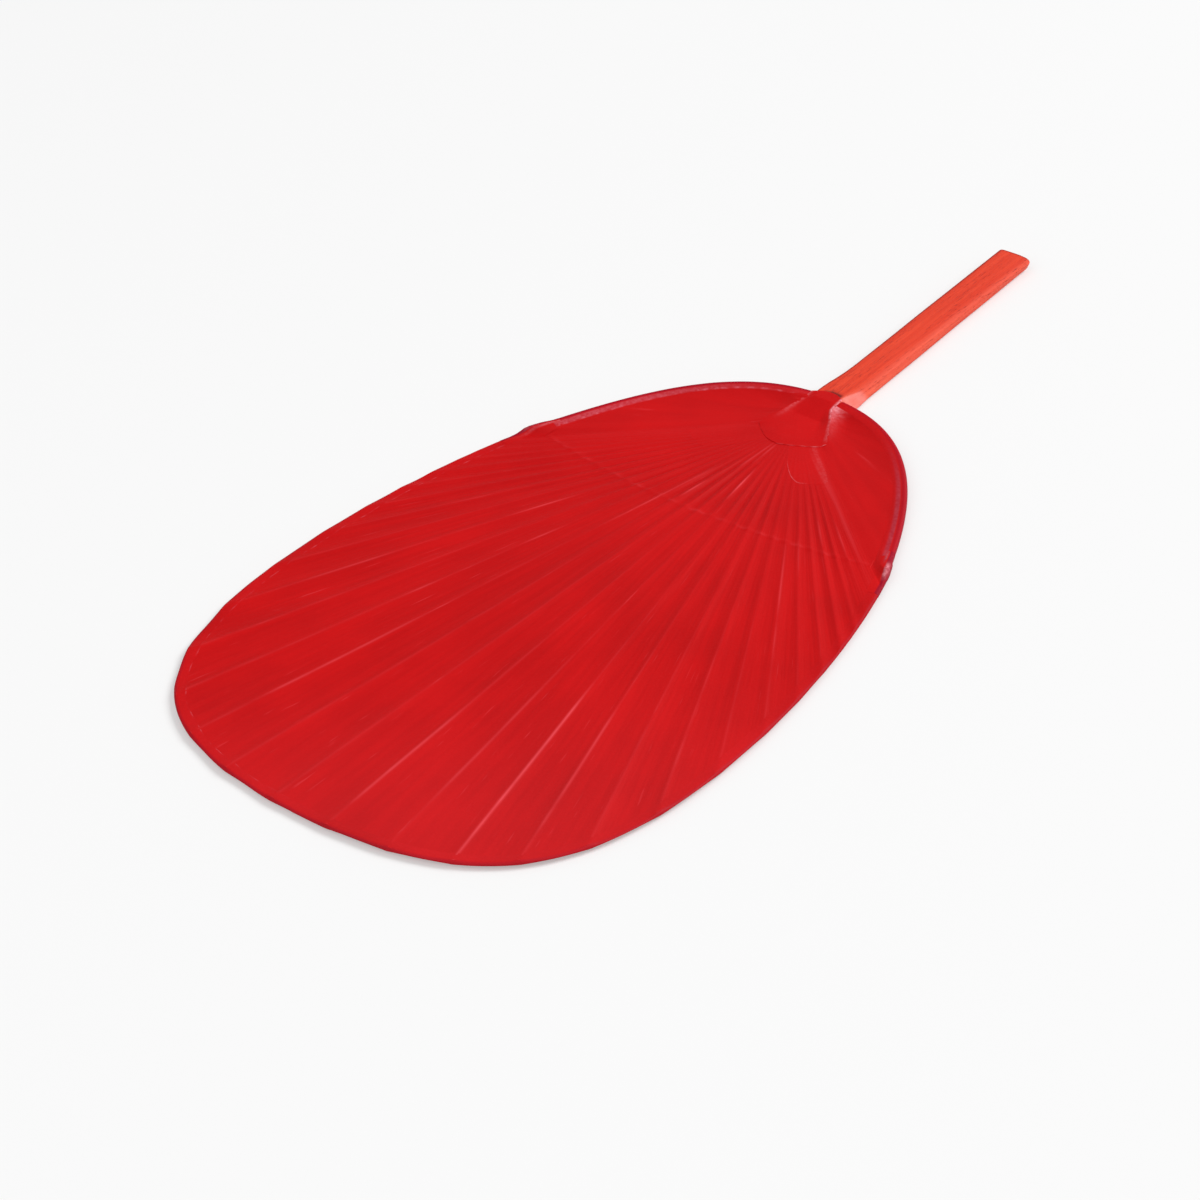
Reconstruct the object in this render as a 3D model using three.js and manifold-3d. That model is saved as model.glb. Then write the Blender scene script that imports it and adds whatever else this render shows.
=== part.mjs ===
import * as THREE from 'three';
import { mergeVertices } from 'three/addons/utils/BufferGeometryUtils.js';
import Module from 'manifold-3d';

// Flat split-bamboo hand fan lying face up, in millimetres.
// Y runs along the fan with the handle end at the positive side, Z is up.
// While the pieces are made, y = 0 is the outer edge of the bow at the neck.

// Blade outline, one half: tip to widest point to ear to neck
const bladeLength = 287;
const bladeWidth = 180;
const widestFromTip = 103;
const earFromNeck = 78;
const earSpan = 148;
const tipReach = 68;
const shoulderReach = 72;
const flankReach = 50;
const earReach = 12;
const bowReach = 48;
const neckReach = 37;
const earLean = 20;

// Handle strip
const handleLength = 129;
const handleWidth = 12.8;
const handleThickness = 5.2;
const handleCorner = 3;
const handleBevel = 0.6;
const neckWidth = 15;
const neckStraight = 2;
const flareLength = 18;
const scarfTop = 5;
const scarfToPaper = 1;
const reliefReach = 8;

// Ribs split from the strip
const ribCount = 28;
const ribThickness = 1;
const ribBase = 1.2;
const ribSlit = 0.1;
const edgeRibRoot = 2;
const edgeRibTip = 0.6;
const fanCentre = 26;
const edgeRibToLash = 3;
const bendReach = 8;
const ribRootLap = 2;

// Bow, cord and paper
const bowNeckDiameter = 2.4;
const bowTipDiameter = 1.6;
const bowHoleClearance = 0.25;
const bowOverrun = 1.6;
const cordDiameter = 0.4;
const cordArch = 9.5;
const cordAboveEar = 1;
const cordRidge = 2.5;
const cordStandOff = 0.4;
const cordLead = 5;
const lashTurns = 3;
const lashPitch = 1;
const lashCover = 3.4;
const paperThickness = 0.25;
const paperSag = 0.3;
const ridgeHalfWidth = 1.3;
const bindingThickness = 0.25;
const bindingReach = 4;
const bowFoot = 7;
const earFoot = 4;
const bowBindingFrom = 6.8;

// Patches
const patchThickness = 0.25;
const earPatchReach = 6;
const earPatchOnBow = 10;
const earPatchOnRim = 5.4;
const frontPatch = { onHandle: 1.5, neckHalf: 7, wideAt: 27.5, wideHalf: 14.5, tipAt: 35.5, tipHalf: 3.5 };
const underNeck = { half: 9.5, crotchAt: 31 };
const underLobe = { sideHalf: 28, sideAt: 45, endHalf: 20, endAt: 51.5, innerHalf: 11.5, innerAt: 46 };
const backPatch = { onHandle: 6, neckHalf: 6.8, wideAt: 30, wideHalf: 15, tipAt: 38, tipHalf: 5 };

// Clearances
const glueLine = 0.12;
const edgeClearance = 0.3;

const lerp = THREE.MathUtils.lerp;
const clamp = THREE.MathUtils.clamp;
const rad = THREE.MathUtils.degToRad;
const at = (x, y) => new THREE.Vector2(x, y);
const ribTop = ribBase + ribThickness;
const ribMiddle = ribBase + ribThickness / 2;
const scarfFoot = fanCentre - bendReach - scarfToPaper;
const bowNeckHeight = (ribBase + handleThickness) / 2;

const wasm = await Module();
wasm.setup();

// Closed geometry helpers
function welded(geometry) {
  const bare = geometry.clone();
  bare.deleteAttribute('normal');
  bare.deleteAttribute('uv');
  return mergeVertices(bare, 1e-4);
}

function facingOut(geometry) {
  const index = geometry.getIndex().array;
  const position = geometry.getAttribute('position');
  const a = new THREE.Vector3();
  const b = new THREE.Vector3();
  const c = new THREE.Vector3();
  let volume = 0;
  for (let i = 0; i < index.length; i += 3) {
    a.fromBufferAttribute(position, index[i]);
    b.fromBufferAttribute(position, index[i + 1]);
    c.fromBufferAttribute(position, index[i + 2]);
    volume += a.dot(b.cross(c));
  }
  if (volume < 0) {
    for (let i = 0; i < index.length; i += 3) {
      [index[i + 1], index[i + 2]] = [index[i + 2], index[i + 1]];
    }
  }
  return geometry;
}

// Extruded section whose stations are carried to the rings given for them
function loft(rings, section) {
  const steps = rings.length - 1;
  const geometry = new THREE.ExtrudeGeometry(new THREE.Shape(section), {
    depth: steps, steps, bevelEnabled: false,
  });
  const position = geometry.getAttribute('position');
  for (let i = 0; i < position.count; i++) {
    const corner = at(position.getX(i), position.getY(i));
    const j = section.findIndex((p) => p.distanceTo(corner) < 1e-4);
    const place = rings[Math.round(position.getZ(i))][j];
    position.setXYZ(i, place.x, place.y, place.z);
  }
  return facingOut(welded(geometry));
}

// Round rod along a path, its frame carried from point to point
function rod(path, radii, sides) {
  const section = [];
  for (let j = 0; j < sides; j++) {
    const turn = (2 * Math.PI * (j + 0.5)) / sides;
    section.push(at(Math.cos(turn), Math.sin(turn)));
  }
  const heading = (i) => {
    const before = path[Math.max(i - 1, 0)];
    const after = path[Math.min(i + 1, path.length - 1)];
    return after.clone().sub(before).normalize();
  };
  let tangent = heading(0);
  let side = new THREE.Vector3().crossVectors(tangent, new THREE.Vector3(0, 0, 1)).normalize();
  const rings = path.map((centre, i) => {
    const next = heading(i);
    side = side.clone().applyQuaternion(new THREE.Quaternion().setFromUnitVectors(tangent, next));
    tangent = next;
    const up = new THREE.Vector3().crossVectors(side, tangent);
    return section.map((p) => centre.clone()
      .addScaledVector(side, p.x * radii[i])
      .addScaledVector(up, p.y * radii[i]));
  });
  return loft(rings, section);
}

function toManifold(geometry) {
  const mesh = welded(geometry);
  return new wasm.Manifold(new wasm.Mesh({
    numProp: 3,
    vertProperties: Float32Array.from(mesh.getAttribute('position').array),
    triVerts: Uint32Array.from(mesh.getIndex().array),
  }));
}

function fromManifold(solid) {
  const mesh = solid.getMesh();
  const geometry = new THREE.BufferGeometry();
  geometry.setAttribute('position', new THREE.BufferAttribute(mesh.vertProperties, 3));
  geometry.setIndex(new THREE.BufferAttribute(mesh.triVerts, 1));
  return geometry;
}

// Prism of a side profile in (y, z), centred on the fan's axis
function sideProfile(points, width) {
  const shape = new THREE.Shape(points);
  const geometry = new THREE.ExtrudeGeometry(shape, { depth: width, bevelEnabled: false });
  geometry.translate(0, 0, -width / 2);
  return geometry.applyMatrix4(new THREE.Matrix4().makeBasis(
    new THREE.Vector3(0, 1, 0), new THREE.Vector3(0, 0, 1), new THREE.Vector3(1, 0, 0)));
}

function flatSheet(points, low, thickness) {
  const shape = new THREE.Shape(points);
  return new THREE.ExtrudeGeometry(shape, { depth: thickness, bevelEnabled: false }).translate(0, 0, low);
}

// Blade outline: t runs 0 to 1 tip to widest, 1 to 2 on to the ear, 2 to 3 along the bow
const widest = at(bladeWidth / 2, widestFromTip - bladeLength);
const ear = at(earSpan / 2, -earFromNeck);
const earHeading = at(-Math.sin(rad(earLean)), Math.cos(rad(earLean)));
const rimSpans = [
  new THREE.CubicBezierCurve(
    at(0, -bladeLength), at(tipReach, -bladeLength), at(widest.x, widest.y - shoulderReach), widest),
  new THREE.CubicBezierCurve(
    widest, at(widest.x, widest.y + flankReach), ear.clone().addScaledVector(earHeading, -earReach), ear),
  new THREE.CubicBezierCurve(
    ear, ear.clone().addScaledVector(earHeading, bowReach), at(neckReach, 0), at(0, 0)),
];

function rim(t, inset = 0) {
  const span = Math.min(Math.floor(t), 2);
  const point = rimSpans[span].getPointAt(t - span);
  const along = rimSpans[span].getTangentAt(t - span);
  return at(point.x - along.y * inset, point.y + along.x * inset);
}

// Where a ray on the right half crosses the outline moved in by the inset
function meetRim(origin, heading, inset, from, to) {
  let low = from;
  let high = to;
  for (let i = 0; i < 40; i++) {
    const middle = (low + high) / 2;
    const point = rim(middle, inset).sub(origin);
    if (heading.cross(point) < 0) {
      low = middle;
    } else {
      high = middle;
    }
  }
  return (low + high) / 2;
}

// Layers over the bow, as radii of a six-sided wrap that clears the round rod
const wrapAngles = [40, 90, 140].map(rad);
const wrapCorner = 1 / Math.cos(rad(25));
const lashBuild = glueLine + cordDiameter;
const paperBuild = glueLine + paperThickness;
const bindingBuild = paperBuild + glueLine + bindingThickness;
const pastEar = (length) => 2 + length / rimSpans[2].getLength();
const beforeEar = (length) => 2 - length / rimSpans[1].getLength();
const bowTip = beforeEar(bowOverrun);
const lashStart = beforeEar(lashCover);
const lashEnd = pastEar(lashCover);
const bindingStart = pastEar(bowBindingFrom);
const earPatchEnd = pastEar(earPatchOnBow);

// Stations along the bow: from the side of the neck to just past the lashing
const sideX = neckWidth / 2 + edgeClearance;
const startY = bendReach - fanCentre;
const neckStop = meetRim(at(sideX, startY), at(0, 1), bowFoot, 1.5, 3);
const openStops = 8;
const bowStops = Array.from({ length: openStops }, (_, i) => lerp(neckStop, earPatchEnd, i / openStops));
const stops = [...bowStops, earPatchEnd, bindingStart, lashEnd, lashStart];

// Where the paper leaves the bow, nearer the edge at the ear
function footInset(t) {
  return lerp(earFoot, bowFoot, THREE.MathUtils.smoothstep(t, lashStart, earPatchEnd));
}

function bowRadius(t) {
  return lerp(bowTipDiameter, bowNeckDiameter, clamp(t - 2, 0, 1)) / 2;
}

function builtRadius(t, build) {
  const lash = t <= lashEnd ? lashBuild : 0;
  return (bowRadius(t) + lash + build) * wrapCorner;
}

const bowEarHeight = builtRadius(lashEnd, paperBuild + glueLine + patchThickness);

function bowInset(t) {
  return (bowRadius(t) + bindingBuild) * wrapCorner;
}

function bowHeight(t) {
  return lerp(bowEarHeight, bowNeckHeight, THREE.MathUtils.smoothstep(t, earPatchEnd, bowStops[1]));
}

// Ribs of the right half, counted outward from the axis, in even steps across the fan
const halfCount = ribCount / 2;
const edgeRootX = (neckWidth - edgeRibRoot) / 2;
const toLash = rim(lashStart, earFoot).sub(at(edgeRootX, -fanCentre));
const fanHalfAngle = Math.atan2(toLash.x, -toLash.y) - Math.asin(edgeRibToLash / toLash.length());
const ribSpread = Math.tan(fanHalfAngle) / (halfCount - 0.5);
const rootPitch = (neckWidth - 2 * edgeRibRoot) / (ribCount - 2);
const ribWidth = rootPitch - ribSlit;
const cordLine = (x) => ear.y + cordAboveEar - cordArch * (1 - (x / ear.x) ** 2);

function ribAt(i) {
  const edge = i === halfCount - 1;
  const rootX = edge ? edgeRootX : (i + 0.5) * rootPitch;
  const angle = Math.atan((i + 0.5) * ribSpread);
  const heading = at(Math.sin(angle), -Math.cos(angle));
  const across = at(Math.cos(angle), Math.sin(angle));
  const corner = at(rootX, -fanCentre);
  const bend = new THREE.QuadraticBezierCurve(
    at(rootX, bendReach - fanCentre), corner, corner.clone().addScaledVector(heading, bendReach));
  return { edge, rootX, heading, across, corner, bend };
}

const ribs = Array.from({ length: halfCount }, (_, i) => ribAt(i));

function crossCord(origin, heading) {
  let low = 0;
  let high = bladeLength;
  for (let i = 0; i < 40; i++) {
    const middle = (low + high) / 2;
    const point = origin.clone().addScaledVector(heading, middle);
    if (point.y > cordLine(point.x)) {
      low = middle;
    } else {
      high = middle;
    }
  }
  return (low + high) / 2;
}

// Stations shared by a rib and the paper over it: bend, cord, rim
const bendSteps = [0, 0.5, 1];
const paperEnd = bindingThickness + edgeClearance;
const rimRows = [1, 0.62, 0.31, 0].map((f) => lerp(paperEnd, bowFoot, f));

function ribLine(rib, offsets) {
  const points = bendSteps.map((u, k) => {
    const along = rib.bend.getTangent(u);
    return rib.bend.getPoint(u).add(at(-along.y, along.x).multiplyScalar(offsets[k]));
  });
  const side = rib.corner.clone().addScaledVector(rib.across, offsets[3]);
  const cross = crossCord(side, rib.heading);
  for (const step of [-cordRidge, 0, cordRidge]) {
    points.push(side.clone().addScaledVector(rib.heading, cross + step));
  }
  const end = rib.corner.clone().addScaledVector(rib.across, offsets[4]);
  for (const inset of rimRows) {
    points.push(rim(meetRim(end, rib.heading, inset, 0, 2), inset));
  }
  return points;
}

// Half width of a rib at each bend step, the cord and the rim
function ribHalf(rib) {
  if (!rib.edge) {
    return Array(5).fill(ribWidth / 2);
  }
  return [0, 0.15, 0.3, 0.8, 1].map((f) => lerp(edgeRibRoot - ribSlit, edgeRibTip, f) / 2);
}

function ribBar(rib, mirror) {
  const half = ribHalf(rib);
  const near = ribLine(rib, half.map((h) => -h));
  const far = ribLine(rib, half);
  const use = [0, 1, 2, 4, 9];
  const rootY = startY + ribRootLap;
  const left = [at(rib.rootX - half[0], rootY), ...use.map((k) => near[k])];
  const right = [at(rib.rootX + half[0], rootY), ...use.map((k) => far[k])];
  const rings = left.map((p, k) => [
    new THREE.Vector3(mirror * p.x, p.y, ribBase),
    new THREE.Vector3(mirror * right[k].x, right[k].y, ribBase),
    new THREE.Vector3(mirror * right[k].x, right[k].y, ribTop),
    new THREE.Vector3(mirror * p.x, p.y, ribTop),
  ]);
  return loft(rings, [at(0, 0), at(1, 0), at(1, 1), at(0, 1)]);
}

// Columns of the paper grid on the right half, from the neck round to the axis
function windowColumn(t, j) {
  const start = at(sideX, lerp(-scarfTop - bowFoot, startY, (j + 0.5) / stops.length));
  const foot = rim(t, footInset(t));
  const points = [0, 0.15, 0.3, 0.6, 0.7, 0.8].map((f) => start.clone().lerp(foot, f));
  return { t, points: [...points, foot], crest: false };
}

const columns = stops.map(windowColumn);
for (let i = halfCount - 1; i >= 0; i--) {
  const rib = ribs[i];
  const half = ribHalf(rib);
  const pitch = bendSteps.map((u) => {
    const other = ribs[i > 0 ? i - 1 : 1];
    return rib.bend.getPoint(u).distanceTo(other.bend.getPoint(u));
  });
  const gap = pitch.map((p, k) => p - half[k] - ribWidth / 2);
  const flank = (k) => (k < 3 ? Math.min(ridgeHalfWidth, 0.4 * gap[k]) : ridgeHalfWidth);
  const foot = half.map((h, k) => (rib.edge ? h + flank(k) : Math.max(flank(k), 0.3 * rootPitch)));
  const sag = [0, 1, 2].map((k) => clamp(flank(k) / ridgeHalfWidth, 0, 1));
  const valley = { points: ribLine(rib, foot), crest: false, sag };
  const inner = { points: ribLine(rib, foot.map((h) => -h)), crest: false, sag };
  const top = half.map((h) => h + 0.1);
  const crest = rib.edge ? [
    { points: ribLine(rib, top), crest: true },
    { points: ribLine(rib, top.map((h) => -h)), crest: true },
  ] : [{ points: ribLine(rib, half.map(() => 0)), crest: true }];
  columns.push(valley, ...crest, inner);
}

// Inner and outer surface points of a paper at one column and row; up is 1 front, -1 back
function paperPoint(column, row, up, build) {
  if (column.t && row > 6) {
    const angle = wrapAngles[row - 7];
    const radius = builtRadius(column.t, build);
    const point = rim(column.t, bowInset(column.t) + radius * Math.cos(angle));
    return new THREE.Vector3(point.x, point.y, bowHeight(column.t) + up * radius * Math.sin(angle));
  }
  const point = column.points[row];
  let rise = ribThickness / 2 + build;
  if (!column.t && row === 4) {
    rise += cordDiameter + glueLine;
  } else if (!column.crest) {
    rise -= paperSag * (column.sag && row < 3 ? column.sag[row] : 1);
  }
  return new THREE.Vector3(point.x, point.y, ribMiddle + up * rise);
}

function paper(up) {
  const rows = 10;
  const count = 2 * columns.length;
  const geometry = new THREE.BoxGeometry(1, 1, 1, count - 1, rows - 1, 1);
  const position = geometry.getAttribute('position');
  for (let i = 0; i < position.count; i++) {
    const c = Math.round((position.getX(i) + 0.5) * (count - 1));
    const row = Math.round((position.getY(i) + 0.5) * (rows - 1));
    const outer = position.getZ(i) * up > 0;
    const mirrored = c >= columns.length;
    const column = columns[mirrored ? count - 1 - c : c];
    const point = paperPoint(column, row, up, outer ? paperBuild : glueLine);
    position.setXYZ(i, mirrored ? -point.x : point.x, point.y, point.z);
  }
  return facingOut(welded(geometry));
}

// Handle and ribs: one strip of bamboo
function handleOutline() {
  const half = handleWidth / 2;
  const neck = neckWidth / 2;
  const bendY = (neckStraight + flareLength) / 2;
  const shape = new THREE.Shape();
  shape.moveTo(-neck, -scarfFoot);
  shape.lineTo(neck, -scarfFoot);
  shape.lineTo(neck, neckStraight);
  shape.bezierCurveTo(neck, bendY, half, bendY, half, flareLength);
  shape.lineTo(half, handleLength - handleCorner);
  shape.absarc(half - handleCorner, handleLength - handleCorner, handleCorner, 0, Math.PI / 2);
  shape.lineTo(handleCorner - half, handleLength);
  shape.absarc(handleCorner - half, handleLength - handleCorner, handleCorner, Math.PI / 2, Math.PI);
  shape.lineTo(-half, flareLength);
  shape.bezierCurveTo(-half, bendY, -neck, bendY, -neck, neckStraight);
  return shape;
}

function bowPath(reach) {
  const all = [bowTip, lashEnd, bindingStart, earPatchEnd, ...bowStops.slice().reverse()];
  const half = all.filter((t) => t >= reach);
  const right = half.map((t) => {
    const point = rim(t, bowInset(t));
    return new THREE.Vector3(point.x, point.y, bowHeight(t));
  });
  const radii = half.map(bowRadius);
  const left = right.map((p) => new THREE.Vector3(-p.x, p.y, p.z)).reverse();
  return { path: [...right, ...left], radii: [...radii, ...radii.slice().reverse()] };
}

function splitBamboo() {
  const blank = new THREE.ExtrudeGeometry(handleOutline(), {
    depth: handleThickness - 2 * handleBevel,
    bevelThickness: handleBevel,
    bevelSize: handleBevel,
    bevelOffset: -handleBevel,
    bevelSegments: 2,
    curveSegments: 6,
  }).translate(0, 0, handleBevel);
  const over = handleThickness;
  const scarf = sideProfile([
    at(-scarfTop, handleThickness),
    at(-scarfFoot, ribTop),
    at(-scarfFoot - over, ribTop),
    at(-scarfFoot - over, handleThickness + over),
    at(-scarfTop, handleThickness + over),
  ], 2 * neckWidth);
  const relief = sideProfile([
    at(reliefReach, -over),
    at(reliefReach, ribBase),
    at(-scarfFoot - over, ribBase),
    at(-scarfFoot - over, -over),
  ], 2 * neckWidth);
  const bow = bowPath(bowStops[1]);
  const hole = rod(bow.path, bow.radii.map((r) => r + bowHoleClearance), 12);
  let solid = toManifold(blank);
  for (const cut of [scarf, relief, hole]) {
    solid = solid.subtract(toManifold(cut));
  }
  for (const rib of ribs) {
    solid = solid.add(toManifold(ribBar(rib, 1))).add(toManifold(ribBar(rib, -1)));
  }
  return fromManifold(solid);
}

// Cord: over one rib and under the next, then lashed round both tips of the bow
function cordPath() {
  const middle = [];
  ribs.forEach((rib, i) => {
    const half = (rib.edge ? ribHalf(rib)[3] : ribWidth / 2) / rib.across.x + cordStandOff;
    const x = rib.corner.clone().addScaledVector(rib.heading, crossCord(rib.corner, rib.heading)).x;
    const lift = ribThickness / 2 + glueLine + cordDiameter / 2;
    for (const mirror of [1, -1]) {
      const over = (i % 2 === 0) === (mirror > 0) ? 1 : -1;
      for (const step of [-half, half]) {
        const px = mirror * x + step;
        middle.push(new THREE.Vector3(px, cordLine(px), ribMiddle + over * lift));
      }
      if (rib.edge) {
        const px = mirror * (x + half + lift);
        middle.push(new THREE.Vector3(px, cordLine(px), ribMiddle));
      }
    }
  });
  middle.sort((a, b) => a.x - b.x);
  const turns = 12;
  const lash = [];
  const radius = bowTipDiameter / 2 + glueLine + cordDiameter / 2;
  const axis = rim(2, bowInset(2));
  const centre = new THREE.Vector3(axis.x, axis.y, bowEarHeight);
  const along = new THREE.Vector3(earHeading.x, earHeading.y, 0);
  const inward = new THREE.Vector3(-earHeading.y, earHeading.x, 0);
  const start = (lashTurns * lashPitch) / 2;
  const spot = (a, z, s) => centre.clone().addScaledVector(inward, a).addScaledVector(along, s)
    .setZ(bowEarHeight + z);
  lash.push(spot(cordLead, ribMiddle - bowEarHeight, start));
  lash.push(spot(radius + 3 * cordDiameter, ribMiddle - bowEarHeight, start));
  lash.push(spot(radius + cordDiameter, -cordDiameter / 4, start));
  for (let k = 1; k <= lashTurns * turns; k++) {
    const turn = (2 * Math.PI * k) / turns;
    lash.push(spot(radius * Math.cos(turn), radius * Math.sin(turn), start - (lashPitch * (k - 1)) / turns));
  }
  const left = lash.map((p) => new THREE.Vector3(-p.x, p.y, p.z)).reverse();
  return [...left, ...middle, ...lash];
}

// Least gap between turns that are not neighbours along the cord
function leastGap(path) {
  let least = Infinity;
  for (let i = 0; i < path.length; i++) {
    let run = 0;
    for (let j = i + 1; j < path.length; j++) {
      run += path[j].distanceTo(path[j - 1]);
      if (run > Math.PI * bowTipDiameter / 2) {
        least = Math.min(least, path[i].distanceTo(path[j]));
      }
    }
  }
  return least - cordDiameter;
}

// Folded strips: outer and inner corners of the section at one station, in (inset, z)
function foldedStrip(stations, mirror) {
  const rings = stations.map(({ t, outer, inner }) => [...outer, ...inner.slice().reverse()].map((p) => {
    const point = rim(t, p.x);
    return new THREE.Vector3(mirror * point.x, point.y, p.y);
  }));
  const first = stations[0];
  return loft(rings, [...first.outer, ...first.inner.slice().reverse()]);
}

function wrapSection(t, build, thickness) {
  const corner = (radius) => {
    const angles = [...wrapAngles, Math.PI, ...wrapAngles.slice().reverse().map((a) => -a)];
    return angles.map((a) => at(bowInset(t) + radius * Math.cos(a), bowHeight(t) + radius * Math.sin(a)));
  };
  const inner = builtRadius(t, build);
  return { t, outer: corner(inner + thickness * wrapCorner), inner: corner(inner) };
}

function bowBinding(mirror) {
  const used = [bindingStart, earPatchEnd, ...bowStops.slice().reverse()];
  return foldedStrip(used.map((t) => wrapSection(t, paperBuild + glueLine, bindingThickness)), mirror);
}

const rimLow = ribMiddle - ribThickness / 2 - bindingBuild;
const rimHigh = ribMiddle + ribThickness / 2 + bindingBuild;
const edgeFoot = ribs[halfCount - 1].corner.clone()
  .addScaledVector(ribs[halfCount - 1].across, edgeRibTip / 2 + ridgeHalfWidth);
const earTurn = meetRim(edgeFoot, ribs[halfCount - 1].heading, paperEnd, 0, 2);
const rimBindingEnd = earTurn - bindingThickness / rimSpans[1].getLength();
const earPatchStart = earTurn - earPatchOnRim / rimSpans[1].getLength();

function rimSection(u, low, high, reach, thickness) {
  return [
    u(reach, high), u(0, high), u(0, low), u(reach, low),
    u(reach, low + thickness), u(thickness, low + thickness),
    u(thickness, high - thickness), u(reach, high - thickness),
  ];
}

function rimBinding() {
  const steps = 32;
  const stations = [];
  for (let k = -steps; k <= steps; k++) {
    stations.push((k / steps) * rimBindingEnd);
  }
  const rings = stations.map((t) => rimSection((inset, z) => {
    const point = rim(Math.abs(t), inset);
    return new THREE.Vector3(Math.sign(t) * point.x, point.y, z);
  }, rimLow, rimHigh, bindingReach, bindingThickness));
  return loft(rings, rimSection(at, rimLow, rimHigh, bindingReach, bindingThickness));
}

function earPatch(mirror) {
  const flat = ribThickness / 2 + paperBuild + glueLine;
  const legs = (t, section) => {
    const thick = at(0, patchThickness);
    for (const side of [section.outer, section.inner]) {
      side[6].y = side[5].y;
    }
    const low = at(earPatchReach, ribMiddle - flat);
    const high = at(earPatchReach, ribMiddle + flat + edgeClearance);
    return {
      t,
      outer: [high.clone().add(thick), ...section.outer, low.clone().sub(thick)],
      inner: [high, ...section.inner, low],
    };
  };
  const overRim = (t) => {
    const fold = bindingReach / 2;
    const face = (grow) => {
      const edge = -glueLine - grow;
      const high = rimHigh - edge;
      const low = rimLow + edge;
      return [
        at(bindingReach, high), at(fold, high), at(edge, high),
        at(edge, ribMiddle),
        at(edge, low), at(fold, low), at(bindingReach, low),
      ];
    };
    return { t, outer: face(patchThickness), inner: face(0) };
  };
  const stations = [
    legs(earPatchStart, overRim(earPatchStart)),
    legs(earTurn, overRim(earTurn)),
    legs(lashStart, wrapSection(lashStart, paperBuild + glueLine, patchThickness)),
    legs(lashEnd, wrapSection(lashEnd, paperBuild + glueLine, patchThickness)),
    legs(bindingStart, wrapSection(bindingStart, bindingBuild + glueLine, patchThickness)),
    legs(earPatchEnd, wrapSection(earPatchEnd, bindingBuild + glueLine, patchThickness)),
  ];
  return foldedStrip(stations, mirror);
}

// Neck patches
const paperTop = ribMiddle + ribThickness / 2 + paperBuild;
const paperLow = ribMiddle - ribThickness / 2 - paperBuild;
const underTop = paperTop + glueLine + patchThickness;
const backSeat = paperLow - glueLine - patchThickness;

const mirrored = (points) => points.map((q) => at(-q.x, q.y)).reverse();

function hexagon(p, top) {
  const right = [at(p.neckHalf, top), at(p.wideHalf, -p.wideAt), at(p.tipHalf, -p.tipAt)];
  return [...right, ...mirrored(right)];
}

function twoLobes(neck, lobe, top) {
  const right = [
    at(neck.half, top),
    at(lobe.sideHalf, -lobe.sideAt),
    at(lerp(lobe.sideHalf, lobe.endHalf, 0.4), -lerp(lobe.sideAt, lobe.endAt, 0.8)),
    at(lobe.endHalf, -lobe.endAt),
    at(lerp(lobe.innerHalf, lobe.endHalf, 0.4), -lerp(lobe.innerAt, lobe.endAt, 0.7)),
    at(lobe.innerHalf, -lobe.innerAt),
  ];
  return [...right, at(0, -neck.crotchAt), ...mirrored(right)];
}

function frontNeckPatch() {
  const seat = underTop + glueLine;
  const crown = handleThickness + glueLine;
  const p = frontPatch;
  const neckEdge = -scarfTop;
  const rows = [
    { y: p.onHandle, half: p.neckHalf, middle: crown, edge: crown },
    { y: neckEdge, half: p.neckHalf, middle: crown, edge: crown },
    { y: -scarfFoot, half: 0, middle: seat, edge: 0 },
    { y: -p.wideAt, half: p.wideHalf, middle: seat, edge: seat },
    { y: -p.tipAt, half: p.tipHalf, middle: seat, edge: seat },
  ];
  const share = (scarfFoot - scarfTop) / (p.wideAt - scarfTop);
  rows[2].half = lerp(p.neckHalf, p.wideHalf, share);
  rows[2].edge = lerp(crown, seat, share);
  rows[2].middle = Math.max(seat, rows[2].edge);
  const across = [-1, -0.5, 0.5, 1];
  const geometry = new THREE.BoxGeometry(1, 1, 1, across.length - 1, rows.length - 1, 1);
  const position = geometry.getAttribute('position');
  for (let i = 0; i < position.count; i++) {
    const side = across[Math.round((position.getX(i) + 0.5) * (across.length - 1))];
    const row = rows[Math.round((0.5 - position.getY(i)) * (rows.length - 1))];
    const level = Math.abs(side) === 1 ? row.edge : row.middle;
    const lift = position.getZ(i) > 0 ? patchThickness : 0;
    position.setXYZ(i, side * row.half, row.y, level + lift);
  }
  return facingOut(welded(geometry));
}

// Assembly
const finish = (color, roughness) => new THREE.MeshStandardMaterial({ color, roughness, metalness: 0 });
const stainedBamboo = finish('#e2513b', 0.5);
const rawBamboo = finish('#c8a56b', 0.7);
const cotton = finish('#d9cfba', 0.9);
const redPaper = finish('#c11d1f', 0.45);
const redStrip = finish('#cd262d', 0.5);
const redPatch = finish('#c8212a', 0.5);

const fan = new THREE.Group();
fan.name = 'hand_fan';
fan.position.y = (bladeLength - handleLength) / 2;

function addPiece(name, geometry, material) {
  geometry.computeVertexNormals();
  const mesh = new THREE.Mesh(geometry, material);
  mesh.name = name;
  fan.add(mesh);
}

const cord = cordPath();
console.log('cord least gap between turns, mm:', leastGap(cord).toFixed(2));
const bow = bowPath(bowTip);

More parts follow.
